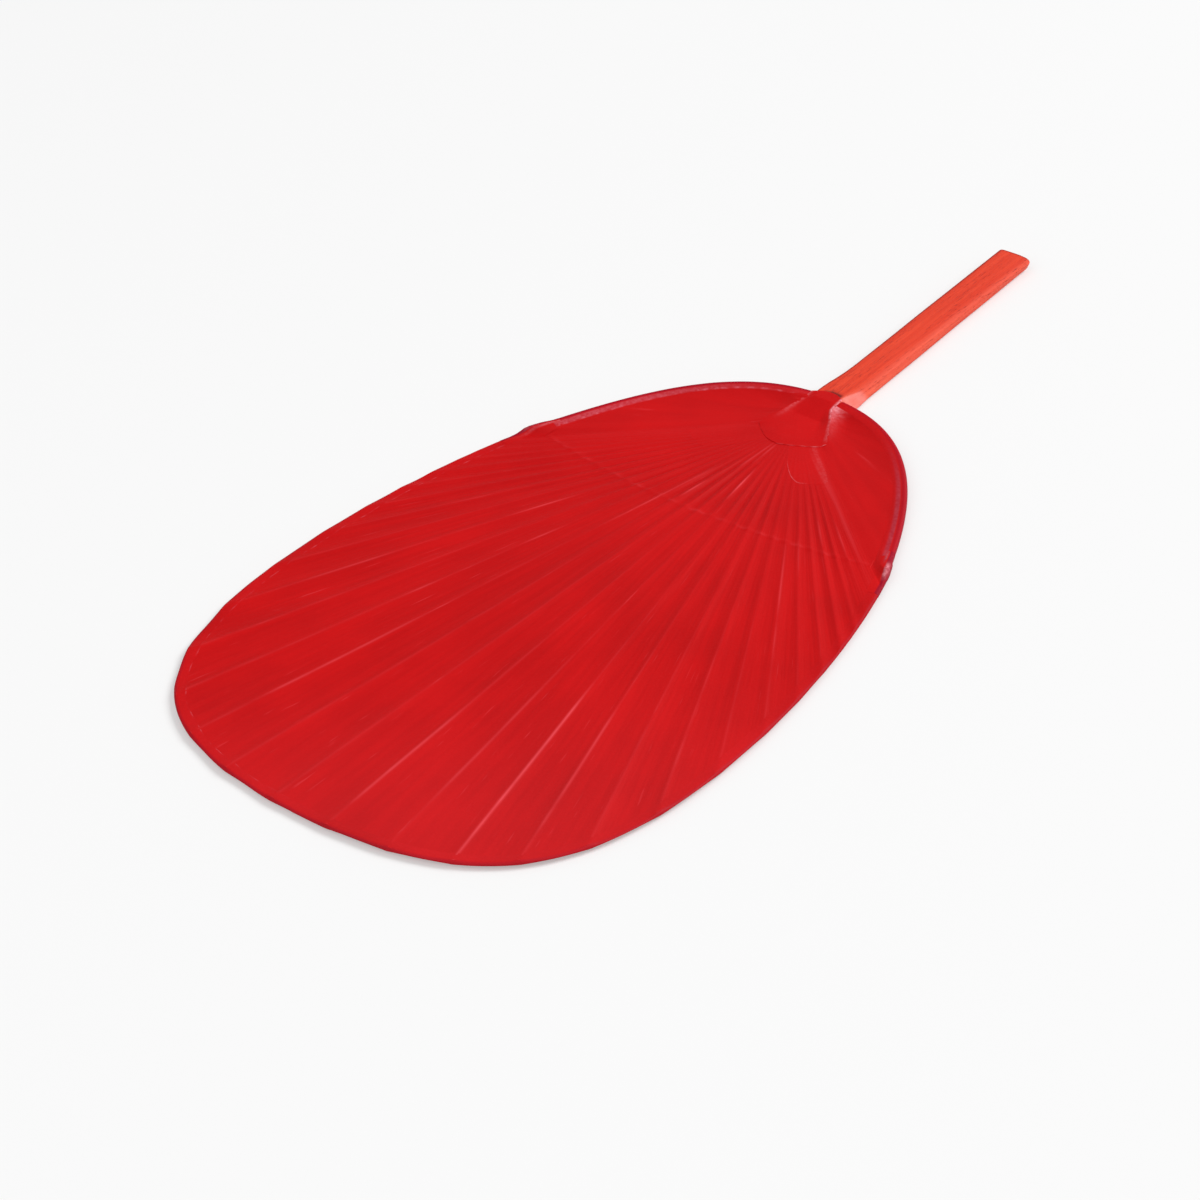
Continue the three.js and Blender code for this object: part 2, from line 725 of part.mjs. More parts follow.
addPiece('split_bamboo_handle', splitBamboo(), stainedBamboo);
addPiece('bow', rod(bow.path, bow.radii, 8), rawBamboo);
addPiece('weaving_cord', rod(cord, cord.map(() => cordDiameter / 2), 6), cotton);
addPiece('front_paper', paper(1), redPaper);
addPiece('back_paper', paper(-1), redPaper);
addPiece('rim_binding', rimBinding(), redStrip);
addPiece('bow_binding_right', bowBinding(1), redStrip);
addPiece('bow_binding_left', bowBinding(-1), redStrip);
addPiece('ear_patch_right', earPatch(1), redPatch);
addPiece('ear_patch_left', earPatch(-1), redPatch);
addPiece('neck_underlay',
  flatSheet(twoLobes(underNeck, underLobe, startY), paperTop + glueLine, patchThickness), redPatch);
addPiece('front_neck_patch', frontNeckPatch(), redPatch);
addPiece('back_neck_patch',
  flatSheet(hexagon(backPatch, backPatch.onHandle), backSeat, patchThickness), redPatch);

export default fan;
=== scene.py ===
import math
from bisect import bisect_right

import bmesh
import bpy
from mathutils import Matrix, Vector, noise
from mathutils.bvhtree import BVHTree
from mathutils.geometry import interpolate_bezier
from mathutils.kdtree import KDTree


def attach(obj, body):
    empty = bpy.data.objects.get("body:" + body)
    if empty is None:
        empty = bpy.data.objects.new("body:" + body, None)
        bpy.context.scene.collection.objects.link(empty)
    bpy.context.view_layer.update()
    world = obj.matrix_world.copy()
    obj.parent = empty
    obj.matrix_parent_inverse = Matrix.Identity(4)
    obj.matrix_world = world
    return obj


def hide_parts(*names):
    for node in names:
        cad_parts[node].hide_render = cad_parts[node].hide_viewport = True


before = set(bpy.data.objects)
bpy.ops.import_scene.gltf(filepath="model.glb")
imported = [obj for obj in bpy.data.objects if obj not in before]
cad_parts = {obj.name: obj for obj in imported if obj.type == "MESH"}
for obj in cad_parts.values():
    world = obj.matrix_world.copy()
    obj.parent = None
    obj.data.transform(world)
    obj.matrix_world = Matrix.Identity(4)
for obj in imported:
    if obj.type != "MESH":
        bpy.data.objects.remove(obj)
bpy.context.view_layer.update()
mm = 0.001
print("frame:", len(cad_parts), "nodes")


# Small number helpers; wobble and chance are noise with a fixed seed
def mix(a, b, f):
    return a + (b - a) * f


def clamp(x, low=0.0, high=1.0):
    return min(max(x, low), high)


def smooth(low, high, x):
    f = clamp((x - low) / (high - low))
    return f * f * (3 - 2 * f)


def band(rise, fall, x):
    return smooth(*rise, x) * smooth(*fall, x)


def sideOf(x):
    return 1 if x >= 0 else -1


def wobble(x, y, size, seed):
    return noise.noise(Vector((x / size, y / size, seed)))


def chance(number, seed):
    return noise.cell(Vector((number + 0.5, seed + 0.5, 0.5)))


# The last place from low to high where the test still holds
def lastHeld(test, low, high, steps):
    for step in range(steps):
        middle = (low + high) / 2
        low, high = (middle, high) if test(middle) else (low, middle)
    return low


# Edge of the blade in mm; y is 0 at the outside of the bow at the neck and minus towards the tip
blade = {
    "neckY": 79.0, "length": 287.0, "halfWidth": 90.0, "widestY": -184.0, "earX": 74.0, "earY": -78.0,
    "tipReach": 68.0, "shoulderReach": 72.0, "flankReach": 50.0, "earReach": 12.0,
    "bowReach": 48.0, "neckReach": 37.0, "earLean": 20.0, "cordDip": 9.5, "samples": 400,
}


def edgeSpans():
    lean = math.radians(blade["earLean"])
    heading = Vector((-math.sin(lean), math.cos(lean), 0))
    tip = Vector((0, -blade["length"], 0))
    widest = Vector((blade["halfWidth"], blade["widestY"], 0))
    ear = Vector((blade["earX"], blade["earY"], 0))
    knots = [
        (tip, tip + Vector((blade["tipReach"], 0, 0)),
         widest - Vector((0, blade["shoulderReach"], 0)), widest),
        (widest, widest + Vector((0, blade["flankReach"], 0)), ear - heading * blade["earReach"], ear),
        (ear, ear + heading * blade["bowReach"], Vector((blade["neckReach"], 0, 0)), Vector((0, 0, 0))),
    ]
    spans = []
    for knot in knots:
        line = interpolate_bezier(*knot, blade["samples"] + 1)
        runs = [0.0]
        for a, b in zip(line, line[1:]):
            runs.append(runs[-1] + (b - a).length)
        last = len(line) - 1
        ways = [(line[min(i + 1, last)] - line[max(i - 1, 0)]).normalized() for i in range(last + 1)]
        spans.append({"line": line, "runs": runs, "ways": ways})
    return spans


spans = edgeSpans()


# t runs 0 to 1 from the tip to the widest point, 1 to 2 on to the ear, 2 to 3 along the bow
def edgeAt(t, inset=0.0):
    k = min(int(t), 2)
    span = spans[k]
    want = (t - k) * span["runs"][-1]
    i = clamp(bisect_right(span["runs"], want) - 1, 0, blade["samples"] - 1)
    f = (want - span["runs"][i]) / (span["runs"][i + 1] - span["runs"][i])
    point = span["line"][i].lerp(span["line"][i + 1], f)
    way = span["ways"][i].lerp(span["ways"][i + 1], f).normalized()
    return Vector((point.x - way.y * inset, point.y + way.x * inset))


edgeTree = KDTree(3 * (blade["samples"] + 1))
edgeMarks = []
for k, span in enumerate(spans):
    for place, run, way in zip(span["line"], span["runs"], span["ways"]):
        edgeTree.insert(place, len(edgeMarks))
        edgeMarks.append((k + run / span["runs"][-1], place, way))
edgeTree.balance()


# The nearest t on the edge, and how far inside the edge the place is
def edgeSpot(x, y):
    t, place, way = edgeMarks[edgeTree.find(Vector((abs(x), y, 0)))[1]]
    away = Vector((abs(x), y, 0)) - place
    return t, way.x * away.y - way.y * away.x


def pastEar(length):
    return 2 + length / spans[2]["runs"][-1]


def beforeEar(length):
    return 2 - length / spans[1]["runs"][-1]


# Ribs split from the handle, counted outward from the axis on both sides, in even steps across the fan
ribs = {
    "half": 14, "middle": 1.7, "thick": 1.0, "wide": 0.32, "startY": -18.0, "bend": 16.0, "angle": 46.94,
    "rootPitch": 11 / 26, "edgeRoot": 6.5, "wander": 0.5, "lean": 0.1, "leanBack": -0.27,
}
ribSpread = math.tan(math.radians(ribs["angle"])) / (ribs["half"] - 0.5)

# The last rib on each side is a wider band, and the near one gets a painted highlight where its slope faces
# the light; half widths
edgeRib = {"root": 0.9, "full": 1.9, "tip": 0.7, "glow": 0.21, "glowHalf": (1.5, 0.3), "glowSoft": 0.4}


def ribRoot(q):
    last = ribs["half"] - 1.5
    if q <= last:
        return q * ribs["rootPitch"]
    return mix(last * ribs["rootPitch"], ribs["edgeRoot"], q - last)


def ribRun(depth):
    if depth < 0:
        return 0.0
    if depth < ribs["bend"]:
        return depth * depth / (2 * ribs["bend"])
    return depth - ribs["bend"] / 2


def ribX(q, depth):
    return ribRoot(q) + ribRun(depth) * q * ribSpread


def ribCos(i):
    return 1 / math.hypot(1, (i + 0.5) * ribSpread)


def ribPitch(i, depth):
    if i == 0:
        return 2 * ribX(0.5, depth)
    return (ribX(i + 0.5, depth) - ribX(i - 0.5, depth)) * ribCos(i)


# No rib runs quite true: sideways shift of one rib, in mm to the right
def ribWander(side, i, depth):
    mark = side * (i + 0.5)
    lean = ribs["lean"] + ribs["leanBack"] * smooth(2, 5, mark)
    drift = ribs["wander"] * smooth(12, 70, depth) * wobble(mark * 3.7, depth, 55, 2.0)
    return drift + lean * max(depth - 30, 0.0) * ribSpread * (1 - smooth(10, 13, abs(mark)))


# Rib number of a place across the fan, with parts between the ribs
def ribPlace(x, depth):
    run = ribRun(depth) * ribSpread
    last = ribs["half"] - 1.5
    q = x / (ribs["rootPitch"] + run)
    if q <= last:
        return q
    stride = ribs["edgeRoot"] - last * ribs["rootPitch"]
    return min(last + (x - last * (ribs["rootPitch"] + run)) / (stride + run), 24.0)


# Sideways shift of any place between the ribs
def ribShift(side, q, depth):
    if q < 0.5:
        both = (ribWander(side, 0, depth) + ribWander(-side, 0, depth)) / 2
        return mix(both, ribWander(side, 0, depth), 2 * q)
    i = min(int(q - 0.5), ribs["half"] - 2)
    return mix(ribWander(side, i, depth), ribWander(side, i + 1, depth), min(q - 0.5 - i, 1.0))


def edgeBand(depth):
    wide = mix(edgeRib["root"], edgeRib["full"], smooth(2, 14, depth))
    return mix(wide, edgeRib["tip"], smooth(18, 62, depth))


def edgeRibHighlight(away, depth):
    half = mix(*edgeRib["glowHalf"], smooth(16, 46, depth))
    edge = smooth(half + edgeRib["glowSoft"], half - edgeRib["glowSoft"], away)
    return edgeRib["glow"] * edge * smooth(70, 50, depth)


# Cord that crosses the ribs, tied to the ears
def cordY(x):
    return blade["earY"] + 1 - blade["cordDip"] * (1 - (x / blade["earX"]) ** 2)


# Bow along the neck side of the blade, with the cord lashed round its tips
bow = {
    "tip": 0.8, "neck": 1.2, "lash": 0.52, "lashHalf": 3.4, "slack": 1.05, "paper": 0.37, "binding": 0.74,
    "corner": 1.1034, "leave": 74.0, "earZ": 2.286, "neckZ": 3.2, "foot": 5.2, "earFoot": 3.6,
    "neckSide": 5.0, "from": 1.92, "stretch": 0.86, "earPatch": 10.0,
}
lashEnd = pastEar(bow["lashHalf"])
lashStart = beforeEar(bow["lashHalf"])
earPatchEnd = pastEar(bow["earPatch"])
neckStop = lastHeld(lambda t: edgeAt(t, bow["foot"]).x > bow["neckSide"], 2.0, 3.0, 40)


# 0 on the rim and 1 on the bow
def onBow(t):
    return smooth(bow["from"], lashStart, t)


def footInset(t):
    return mix(bow["earFoot"], bow["foot"], smooth(lashStart, earPatchEnd, t))


def bowRadius(t):
    return mix(bow["tip"], bow["neck"], clamp(t - 2))


def bowInset(t):
    return (bowRadius(t) + bow["binding"]) * bow["corner"]


def bowZ(t):
    return mix(bow["earZ"], bow["neckZ"], smooth(earPatchEnd, mix(neckStop, earPatchEnd, 0.125), t))


def bowSkin(t):
    lash = bow["lash"] * (1 - smooth(lashEnd - 0.01, lashEnd + 0.02, t))
    return (bowRadius(t) + lash + bow["paper"]) * bow["slack"]


# Where the paper leaves the bow for the ribs: inset and z
def bowLeave(t, up, radius):
    turn = math.radians(bow["leave"])
    return bowInset(t) + radius * math.cos(turn), bowZ(t) + up * radius * math.sin(turn)


# Paper pressed over the ribs: rise of its outer face over the middle of the ribs
skin = {
    "crest": 0.87, "thick": 0.11, "sag": 0.8, "slack": (0.35, 0.85), "besideBow": 0.15, "nearCalm": 0.8,
    "farCalm": 0.95, "ridgeShare": 0.17, "ridgeHalf": (0.4, 1.3), "cordHalf": 0.8, "cordRise": 0.13,
    "cordSheen": 0.17, "knotRise": 0.22, "knotHalf": 0.9, "ripple": 0.1, "crinkle": 0.04,
}

# The patch over the neck stands up like a tent: its ridge lines run from the handle's top edges to the blade
tent = {
    "foot": -28.0, "bend": -3.0, "nearTop": 5.2, "nearBend": -8.5, "nearFoot": 15.0, "farTop": 7.2,
    "farFoot": 12.2, "topZ": 5.3, "footZ": 2.9, "nearCurve": 0.85, "farCurve": 0.55, "slope": 7.5,
    "scarfTop": -5.0, "scarfFoot": -17.0, "scarfZ": 2.2, "strip": 5.2, "gap": 0.3, "stripGap": 0.18,
}


def handleTop(y):
    share = (tent["scarfTop"] - y) / (tent["scarfTop"] - tent["scarfFoot"])
    return mix(tent["strip"], tent["scarfZ"], clamp(share))


def tentShare(y, top):
    return clamp((top - y) / (top - tent["foot"]))


def tentX(side, y):
    if side > 0:
        return mix(tent["nearTop"], tent["nearFoot"], tentShare(y, tent["nearBend"]))
    return mix(tent["farTop"], tent["farFoot"], tentShare(y, tent["bend"]))


def tentZ(side, y):
    curve = tent["nearCurve" if side > 0 else "farCurve"]
    return mix(tent["topZ"], tent["footZ"], tentShare(y, tent["bend"]) ** curve)


def tentHeight(x, y):
    side = sideOf(x)
    middle = max(handleTop(y) + tent["stripGap"], ribs["middle"] + skin["crest"] + tent["gap"])
    return mix(middle, tentZ(side, y), smooth(0.5, 1.0, abs(x) / tentX(side, y)))


# Painted highlights on the rib crests: every rib shows a faint line, and these stretches more: rib, from, to,
# strength
highlightLine = {"half": (0.3, 0.5), "faint": (0.03, 0.14), "fade": 24.0, "reach": 1.5}
highlightStretches = (
    (2.5, 160, 268, 1.0), (0.5, 190, 268, 0.6), (3.5, 160, 244, 0.5), (1.5, 168, 252, 0.35),
    (-2.5, 160, 244, 0.5), (1.5, 33, 60, 1.0), (-1.5, 49, 67, 0.8), (-2.5, 36, 102, 0.5),
    (0.5, 14, 36, 0.6), (-0.5, 14, 42, 0.6), (-5.5, 80, 114, 0.6), (-5.5, 140, 188, 0.5),
    (-3.5, 98, 124, 0.5), (-3.5, 148, 168, 0.5), (7.5, 60, 136, 0.4), (8.5, 58, 84, 0.35),
    (10.5, 46, 64, 0.4), (12.5, 44, 66, 0.3), (5.5, 120, 200, 0.3), (-7.5, 96, 130, 0.35),
)


def crestHighlight(mark, away, depth):
    most = mix(*highlightLine["faint"], smooth(80, 150, depth))
    for rib, start, end, strength in highlightStretches:
        if rib == mark:
            fade = min((end - start) / 2, highlightLine["fade"])
            most = max(most, strength * band((start, start + fade), (end, end - fade), depth))
    half = mix(*highlightLine["half"], smooth(120, 220, depth))
    return math.exp(-(away / half) ** 2) * most * clamp(0.75 + 0.7 * wobble(mark * 5, depth, 11, 40.0))


# Rise, painted highlight and rib number of the paper at a place
def paperFace(x, y, up):
    side = sideOf(x)
    depth = ribs["startY"] - y
    at = max(abs(x) - side * ribShift(side, ribPlace(abs(x), depth), depth), 0.0)
    q = ribPlace(at, depth)
    ridge, paintedSheen, knot, pitch = 0.0, 0.0, 0.0, math.inf
    for i in {clamp(int(q + step), 0, ribs["half"] - 1) for step in (-0.5, 0.5)}:
        away = abs(at - ribX(i + 0.5, depth)) * ribCos(i)
        if i == ribs["half"] - 1:
            if side > 0:
                # painted highlight on the near edge rib's band
                paintedSheen = max(paintedSheen, edgeRibHighlight(away, depth))
            away = max(away - edgeBand(depth), 0.0)
        stride = ribPitch(i, depth)
        pitch = min(pitch, stride)
        ridge = max(ridge, 1 / math.cosh(away / clamp(skin["ridgeShare"] * stride, *skin["ridgeHalf"])))
        if away < highlightLine["reach"]:
            paintedSheen = max(paintedSheen, crestHighlight(side * (i + 0.5), away, depth))
            knot = max(knot, math.exp(-(away / skin["knotHalf"]) ** 2))
    # painted highlight along the bump of the cord
    onCord = math.exp(-((y - cordY(x)) / skin["cordHalf"]) ** 2) * smooth(74, 66, abs(x))
    broken = smooth(0.4, 0.75, 0.5 + 0.9 * wobble(x, y, 5, 42.0))
    paintedSheen = max(paintedSheen, skin["cordSheen"] * onCord ** 2 * broken)
    mark = int(q + 0.5) * side
    slack = 0.55 + 0.3 * chance(mark, 4 if up > 0 else 5) + 0.45 * wobble(mark * 3.1, depth, 34, 35.0)
    sag = skin["sag"] * clamp(slack, *skin["slack"]) * smooth(0.6, 4.2, pitch)
    if q > ribs["half"] - 0.5:
        sag *= skin["besideBow"]  # flat where it is stretched to the bow
    else:
        sag *= 1 - skin["nearCalm" if side > 0 else "farCalm"] * smooth(11, 12.6, q)
    rise = skin["crest"] - sag * (1 - ridge)
    rise += mix(skin["cordRise"], skin["knotRise"], knot) * onCord
    loose = 1 - 0.7 * ridge
    rise += skin["ripple"] * loose * wobble(x, y * 0.55, 17, 1.0 if up > 0 else 6.0)
    rise += skin["crinkle"] * loose * wobble(x, y, 5, 3.0 if up > 0 else 8.0)
    return max(rise, skin["thick"]), paintedSheen * smooth(0.4, 1.5, pitch), q


# Point of a sheet with its marks; beside the neck patch the front paper climbs, crumpled on the near side,
# where it is pale at the creases and has a painted sheen
flap = {"end": -32, "full": -26, "crumple": (0.4, 1.0), "paintedSheen": 0.25}


def paperPoint(x, y, up, way):
    rise, paintedSheen, q = paperFace(x, y, up)
    wearAndSheen = 0.0
    if up > 0 and y > flap["end"]:
        side = sideOf(x)
        share = (abs(x) - tentX(side, y)) / tent["slope"]
        lift = (1 - clamp(share)) ** 1.6 * smooth(flap["end"], flap["full"], y)
        gap = mix(tent["gap"], 0.05, smooth(-0.12, 0.0, share))
        top = (tentHeight(x, y) if share < 0 else tentZ(side, y)) - gap - ribs["middle"]
        rise = mix(rise, max(top, rise), lift)
        if side > 0:
            crumpled = smooth(0.2, 0.7, 0.5 + 0.9 * wobble(x, y, 1.6, 36.0))
            wearAndSheen = mix(*flap["crumple"], crumpled) * lift ** 1.5 * smooth(-14, -6, y)
            # painted sheen: a broad pale fade over the near wall
            wearAndSheen = min(wearAndSheen + flap["paintedSheen"] * lift ** 2 * smooth(-26, -10, y), 1.0)
    return x, y, ribs["middle"] + up * rise, paintedSheen, wearAndSheen, way * q


# The paper is stretched from the ribs to the bow: its z beside the bow
def footLevel(side, t, up, footAt):
    foot = edgeAt(t, footAt)
    level = paperPoint(side * foot.x, foot.y, up, side)[2]
    stretched = bowLeave(t, up, bowSkin(t))[1]
    return mix(level, stretched, bow["stretch"] * onBow(t))


# One small class for shader sums: a wire is a socket, and arithmetic on wires adds Math nodes
class Wire:
    def __init__(self, tree, socket=None):
        self.tree = tree
        self.socket = socket

    def node(self, kind, settings=None, inputs=None, out=0):
        made = self.tree.nodes.new("ShaderNode" + kind)
        for key, value in (settings or {}).items():
            setattr(made, key, value)
        for key, value in (inputs or {}).items():
            if isinstance(value, Wire):
                self.tree.links.new(value.socket, made.inputs[key])
            else:
                made.inputs[key].default_value = value
        return Wire(self.tree, made.outputs[out])

    def math(self, operation, first, second):
        return self.node("Math", {"operation": operation}, {0: first, 1: second})

    def __add__(self, other):
        return self.math("ADD", self, other)

    def __sub__(self, other):
        return self.math("SUBTRACT", self, other)

    def __mul__(self, other):
        return self.math("MULTIPLY", self, other)

    __radd__ = __add__
    __rmul__ = __mul__


def tint(red, green, blue):
    parts = [c / 255 for c in (red, green, blue)]
    return (*[c / 12.92 if c <= 0.04045 else ((c + 0.055) / 1.055) ** 2.4 for c in parts], 1.0)


def newFinish(name):
    material = bpy.data.materials.new(name)
    material.use_nodes = True
    shader = next(n for n in material.node_tree.nodes if n.type == "BSDF_PRINCIPLED")
    return material, shader, Wire(material.node_tree)


def blend(factor, first, second):
    return factor.node("Mix", {"data_type": "RGBA"}, {0: factor, 6: first, 7: second}, 2)


def plug(shader, name, wire):
    wire.tree.links.new(wire.socket, shader.inputs[name])


def dress(shader, look, colour, rough, height, fine=0.0002):
    plug(shader, "Base Color", colour)
    plug(shader, "Roughness", look["rough"] + rough)
    bump = {"Strength": look["bump"], "Distance": fine, "Height": height}
    plug(shader, "Normal", height.node("Bump", {}, bump))
    shader.inputs["Specular IOR Level"].default_value = look["gloss"]


# A value kept on the points of the mesh
def pointMark(wire, name):
    return wire.node("Attribute", {"attribute_name": name}, out="Fac")


def ranged(value, low, high):
    return value.node("MapRange", {"interpolation_type": "SMOOTHSTEP"}, {0: value, 1: low, 2: high})


# Noise by scale, detail, roughness and the ends of its range; one scale for each axis stretches it
def cloud(vector, scale, detail, rough, low, high):
    if isinstance(scale, tuple):
        vector, scale = vector.node("Mapping", {}, {"Vector": vector, "Scale": scale}), 1
    inputs = {"Vector": vector, "Scale": scale, "Detail": detail, "Roughness": rough}
    return ranged(vector.node("TexNoise", {}, inputs), low, high)


# Lacquered red paper; what lies on the ribs has streaks along them, and the near side of the tip is painted
# lighter, a painted sheen
paperLook = {
    "deep": tint(182, 3, 7), "clear": tint(203, 9, 13), "wornAndSheen": tint(232, 74, 82),
    "pale": tint(252, 160, 170), "fold": tint(146, 6, 38), "rough": 0.5, "gloss": 0.09, "bump": 0.22,
    "mottle": (24, 3, 0.5, 0.32, 0.68), "fibre": (1100, 2, 0.5, 0.35, 0.75),
    "crease": (750, 3, 0.6, 0.34, 0.66), "streak": ((6, 0.7, 1), 3, 0.55, 0.28, 0.72),
    "scuff": ((13, 1.6, 1), 2, 0.5, 0.66, 0.78),
    "fade": 0.1, "nearSheenLean": 0.8, "nearSheenEnds": (0.1, 0.25),
}


def paperFinish(name, look, onRibs):
    material, shader, wire = newFinish(name)
    place = wire.node("TexCoord", out="Object")
    mottle, fibre, crease = [cloud(place, *look[key]) for key in ("mottle", "fibre", "crease")]
    height = 0.3 * fibre
    if onRibs:
        along = wire.node("UVMap", {"uv_map": "ribs"}, out="UV")
        streak, scuff = cloud(along, *look["streak"]), cloud(along, *look["scuff"])
        height = height + streak
        colour = blend(0.45 * mottle + 0.15 * fibre + 0.4 * streak, look["deep"], look["clear"])
        colour = blend(0.25 * scuff, colour, look["wornAndSheen"])
        # painted highlights on the rib crests, the near edge rib and along the cord
        colour = blend(pointMark(wire, "paintedSheen"), colour, look["wornAndSheen"])
    else:
        colour = blend(0.75 * mottle + 0.25 * fibre, look["deep"], look["clear"])
        # painted shade in dark crimson on the turned edges, and the darker part of the painted sheens
        colour = blend(pointMark(wire, "fold"), colour, look["fold"])
    # painted sheen: the near side of the tip lighter and pinker
    reach = look["nearSheenLean"] * wire.node("SeparateXYZ", {}, {0: place}, "X")
    reach = reach - wire.node("SeparateXYZ", {}, {0: place}, "Y")
    colour = blend(look["fade"] * ranged(reach, *look["nearSheenEnds"]), colour, look["wornAndSheen"])
    # pale wear, and painted highlights and sheens
    colour = blend(pointMark(wire, "wearAndSheen") * (0.5 + 0.7 * crease), colour, look["pale"])
    dress(shader, look, colour, 0.08 * mottle, height)
    return material


redPaper = paperFinish("redPaper", paperLook, True)
bindingLook = {**paperLook, "clear": tint(204, 12, 18), "pale": tint(232, 130, 146)}
bindingPaper = paperFinish("bindingPaper", bindingLook, False)
patchLook = {**paperLook, "deep": tint(187, 4, 8), "clear": tint(206, 10, 14), "pale": tint(250, 158, 168)}
patchPaper = paperFinish("patchPaper", patchLook, False)

# Bamboo stained orange red, with fibres along the strip
stainLook = {
    "deep": tint(214, 54, 32), "clear": tint(237, 76, 48), "light": tint(242, 112, 88),
    "dark": tint(140, 26, 24), "bare": tint(248, 136, 126), "paintedShade": tint(84, 14, 18),
    "rough": 0.55, "gloss": 0.15, "bump": 0.35,
    "fibre": ((2400, 26, 1500), 3, 0.65, 0.3, 0.72), "streak": ((420, 9, 420), 3, 0.6, 0.3, 0.7),
    "fleck": ((3000, 240, 2000), 2, 0.5, 0.55, 0.72), "sparse": ((300, 40, 300), 2, 0.5, 0.3, 0.65),
}


def bambooFinish(look):
    material, shader, wire = newFinish("stainedBamboo")
    place = wire.node("TexCoord", out="Object")
    fibre, streak = cloud(place, *look["fibre"]), cloud(place, *look["streak"])
    fleck, sparse = cloud(place, *look["fleck"]), cloud(place, *look["sparse"])
    colour = blend(0.5 * fibre + 0.5 * streak, look["deep"], look["clear"])
    # painted light: the near rounded side lighter, as if lit
    colour = blend(pointMark(wire, "edge") * (0.25 + 0.3 * streak), colour, look["light"])
    colour = blend(0.75 * fleck * sparse, colour, look["dark"])
    colour = blend(pointMark(wire, "wearAndSheen"), colour, look["bare"])
    # painted shadow in the gap under the patch, and painted shade on the sawn faces
    colour = blend(0.85 * pointMark(wire, "gap"), colour, look["paintedShade"])
    dress(shader, look, colour, 0.12 * fibre, fibre + streak - fleck)
    return material


stainedBamboo = bambooFinish(stainLook)

# Plain split bamboo of the bow and twisted thread of the cord, both under the paper
plainLook = {
    "deep": tint(176, 138, 84), "clear": tint(222, 192, 138), "rough": 0.55, "gloss": 0.5, "bump": 0.3,
    "fibre": ((700, 700, 900), 3, 0.6, 0.3, 0.7), "knots": ((60, 60, 60), 2, 0.5, 0.3, 0.7),
}
threadLook = {
    "deep": tint(186, 172, 146), "clear": tint(232, 222, 200), "rough": 0.85, "gloss": 0.5, "bump": 0.4,
    "twist": 2600.0, "fuzz": (4000, 2, 0.5, 0.3, 0.7),
}


def plainFinish(look):
    material, shader, wire = newFinish("plainBamboo")
    place = wire.node("TexCoord", out="Object")
    fibre, knots = cloud(place, *look["fibre"]), cloud(place, *look["knots"])
    dress(shader, look, blend(0.6 * fibre + 0.4 * knots, look["deep"], look["clear"]), 0.15 * fibre, fibre)
    return material


def threadFinish(look):
    material, shader, wire = newFinish("cottonThread")
    place = wire.node("TexCoord", out="Object")
    turned = wire.node("Mapping", {}, {"Vector": place, "Rotation": (0.0, 0.6, 0.5)})
    waves = {"Vector": turned, "Scale": look["twist"], "Distortion": 1.5}
    twist, fuzz = wire.node("TexWave", {}, waves), cloud(place, *look["fuzz"])
    colour = blend(0.7 * twist + 0.3 * fuzz, look["deep"], look["clear"])
    dress(shader, look, colour, 0.1 * fuzz, twist, 0.0001)
    return material


plainBamboo = plainFinish(plainLook)
cottonThread = threadFinish(threadLook)
print("finishes:", len(bpy.data.materials))


# Makes an object of a bmesh whose points are in mm, with the neck at y = 0
def makePiece(name, bm, material, node, values=None, thick=None, sheetUv=None):
    bmesh.ops.translate(bm, verts=bm.verts, vec=(0, blade["neckY"], 0))
    bmesh.ops.scale(bm, verts=bm.verts, vec=(mm, mm, mm))
    for face in bm.faces:
        face.smooth = True
    if thick:
        for edge in bm.edges:
            edge.smooth = not edge.is_boundary  # a cut edge stays crisp
    mesh = bpy.data.meshes.new(name)
    bm.verts.index_update()
    if sheetUv:
        layer = bm.loops.layers.uv.new("ribs")
        for face in bm.faces:
            for loop in face.loops:
                loop[layer].uv = sheetUv[loop.vert.index]
    bm.to_mesh(mesh)
    bm.free()
    for key, numbers in (values or {}).items():
        mesh.attributes.new(key, "FLOAT", "POINT").data.foreach_set("value", numbers)
    piece = bpy.data.objects.new(name, mesh)
    bpy.context.scene.collection.objects.link(piece)
    mesh.materials.append(material)
    if thick:
        wall = piece.modifiers.new("thickness", "SOLIDIFY")
        wall.thickness = thick * mm
        wall.offset = -1
    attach(piece, "root")
    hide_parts(node)
    print("piece:", name, len(mesh.polygons), "faces")
    return piece


# A grid whose vertices are carried to place(column, row); faces are turned to face the given way
def carriedGrid(columns, rows, place, outward):
    bm = bmesh.new()
    bmesh.ops.create_grid(bm, x_segments=columns - 1, y_segments=rows - 1, size=0.5)
    found = []
    for vert in bm.verts:
        c = round((vert.co.x + 0.5) * (columns - 1))
        r = round((vert.co.y + 0.5) * (rows - 1))
        vert.co, facts = place(c, r)
        found.append(facts)
    bm.normal_update()
    score = sum(face.normal.dot(outward(face.calc_center_median())) * face.calc_area() for face in bm.faces)
    if score < 0:
        bmesh.ops.reverse_faces(bm, faces=bm.faces)
    return bm, found


# Front paper, up = 1, and back paper, up = -1: columns follow the ribs and rows run from the neck to the edge
sheet = {
    "toCord": 38, "atCord": 8, "toRim": 46, "atRim": 16, "windows": 36, "edge": 0.55, "ragged": 0.25,
    "ribFoot": 7.0, "offsets": (0.35, 0.75, 1.2, 1.8), "shares": (0.2, 0.4, 0.6, 0.8),
    "cordBand": 3, "cordSearch": (5, 120, 34), "edgeSearch": (40, 290, 34), "beyond": 95,
    "hollow": 0.5, "seam": 0.006,
}


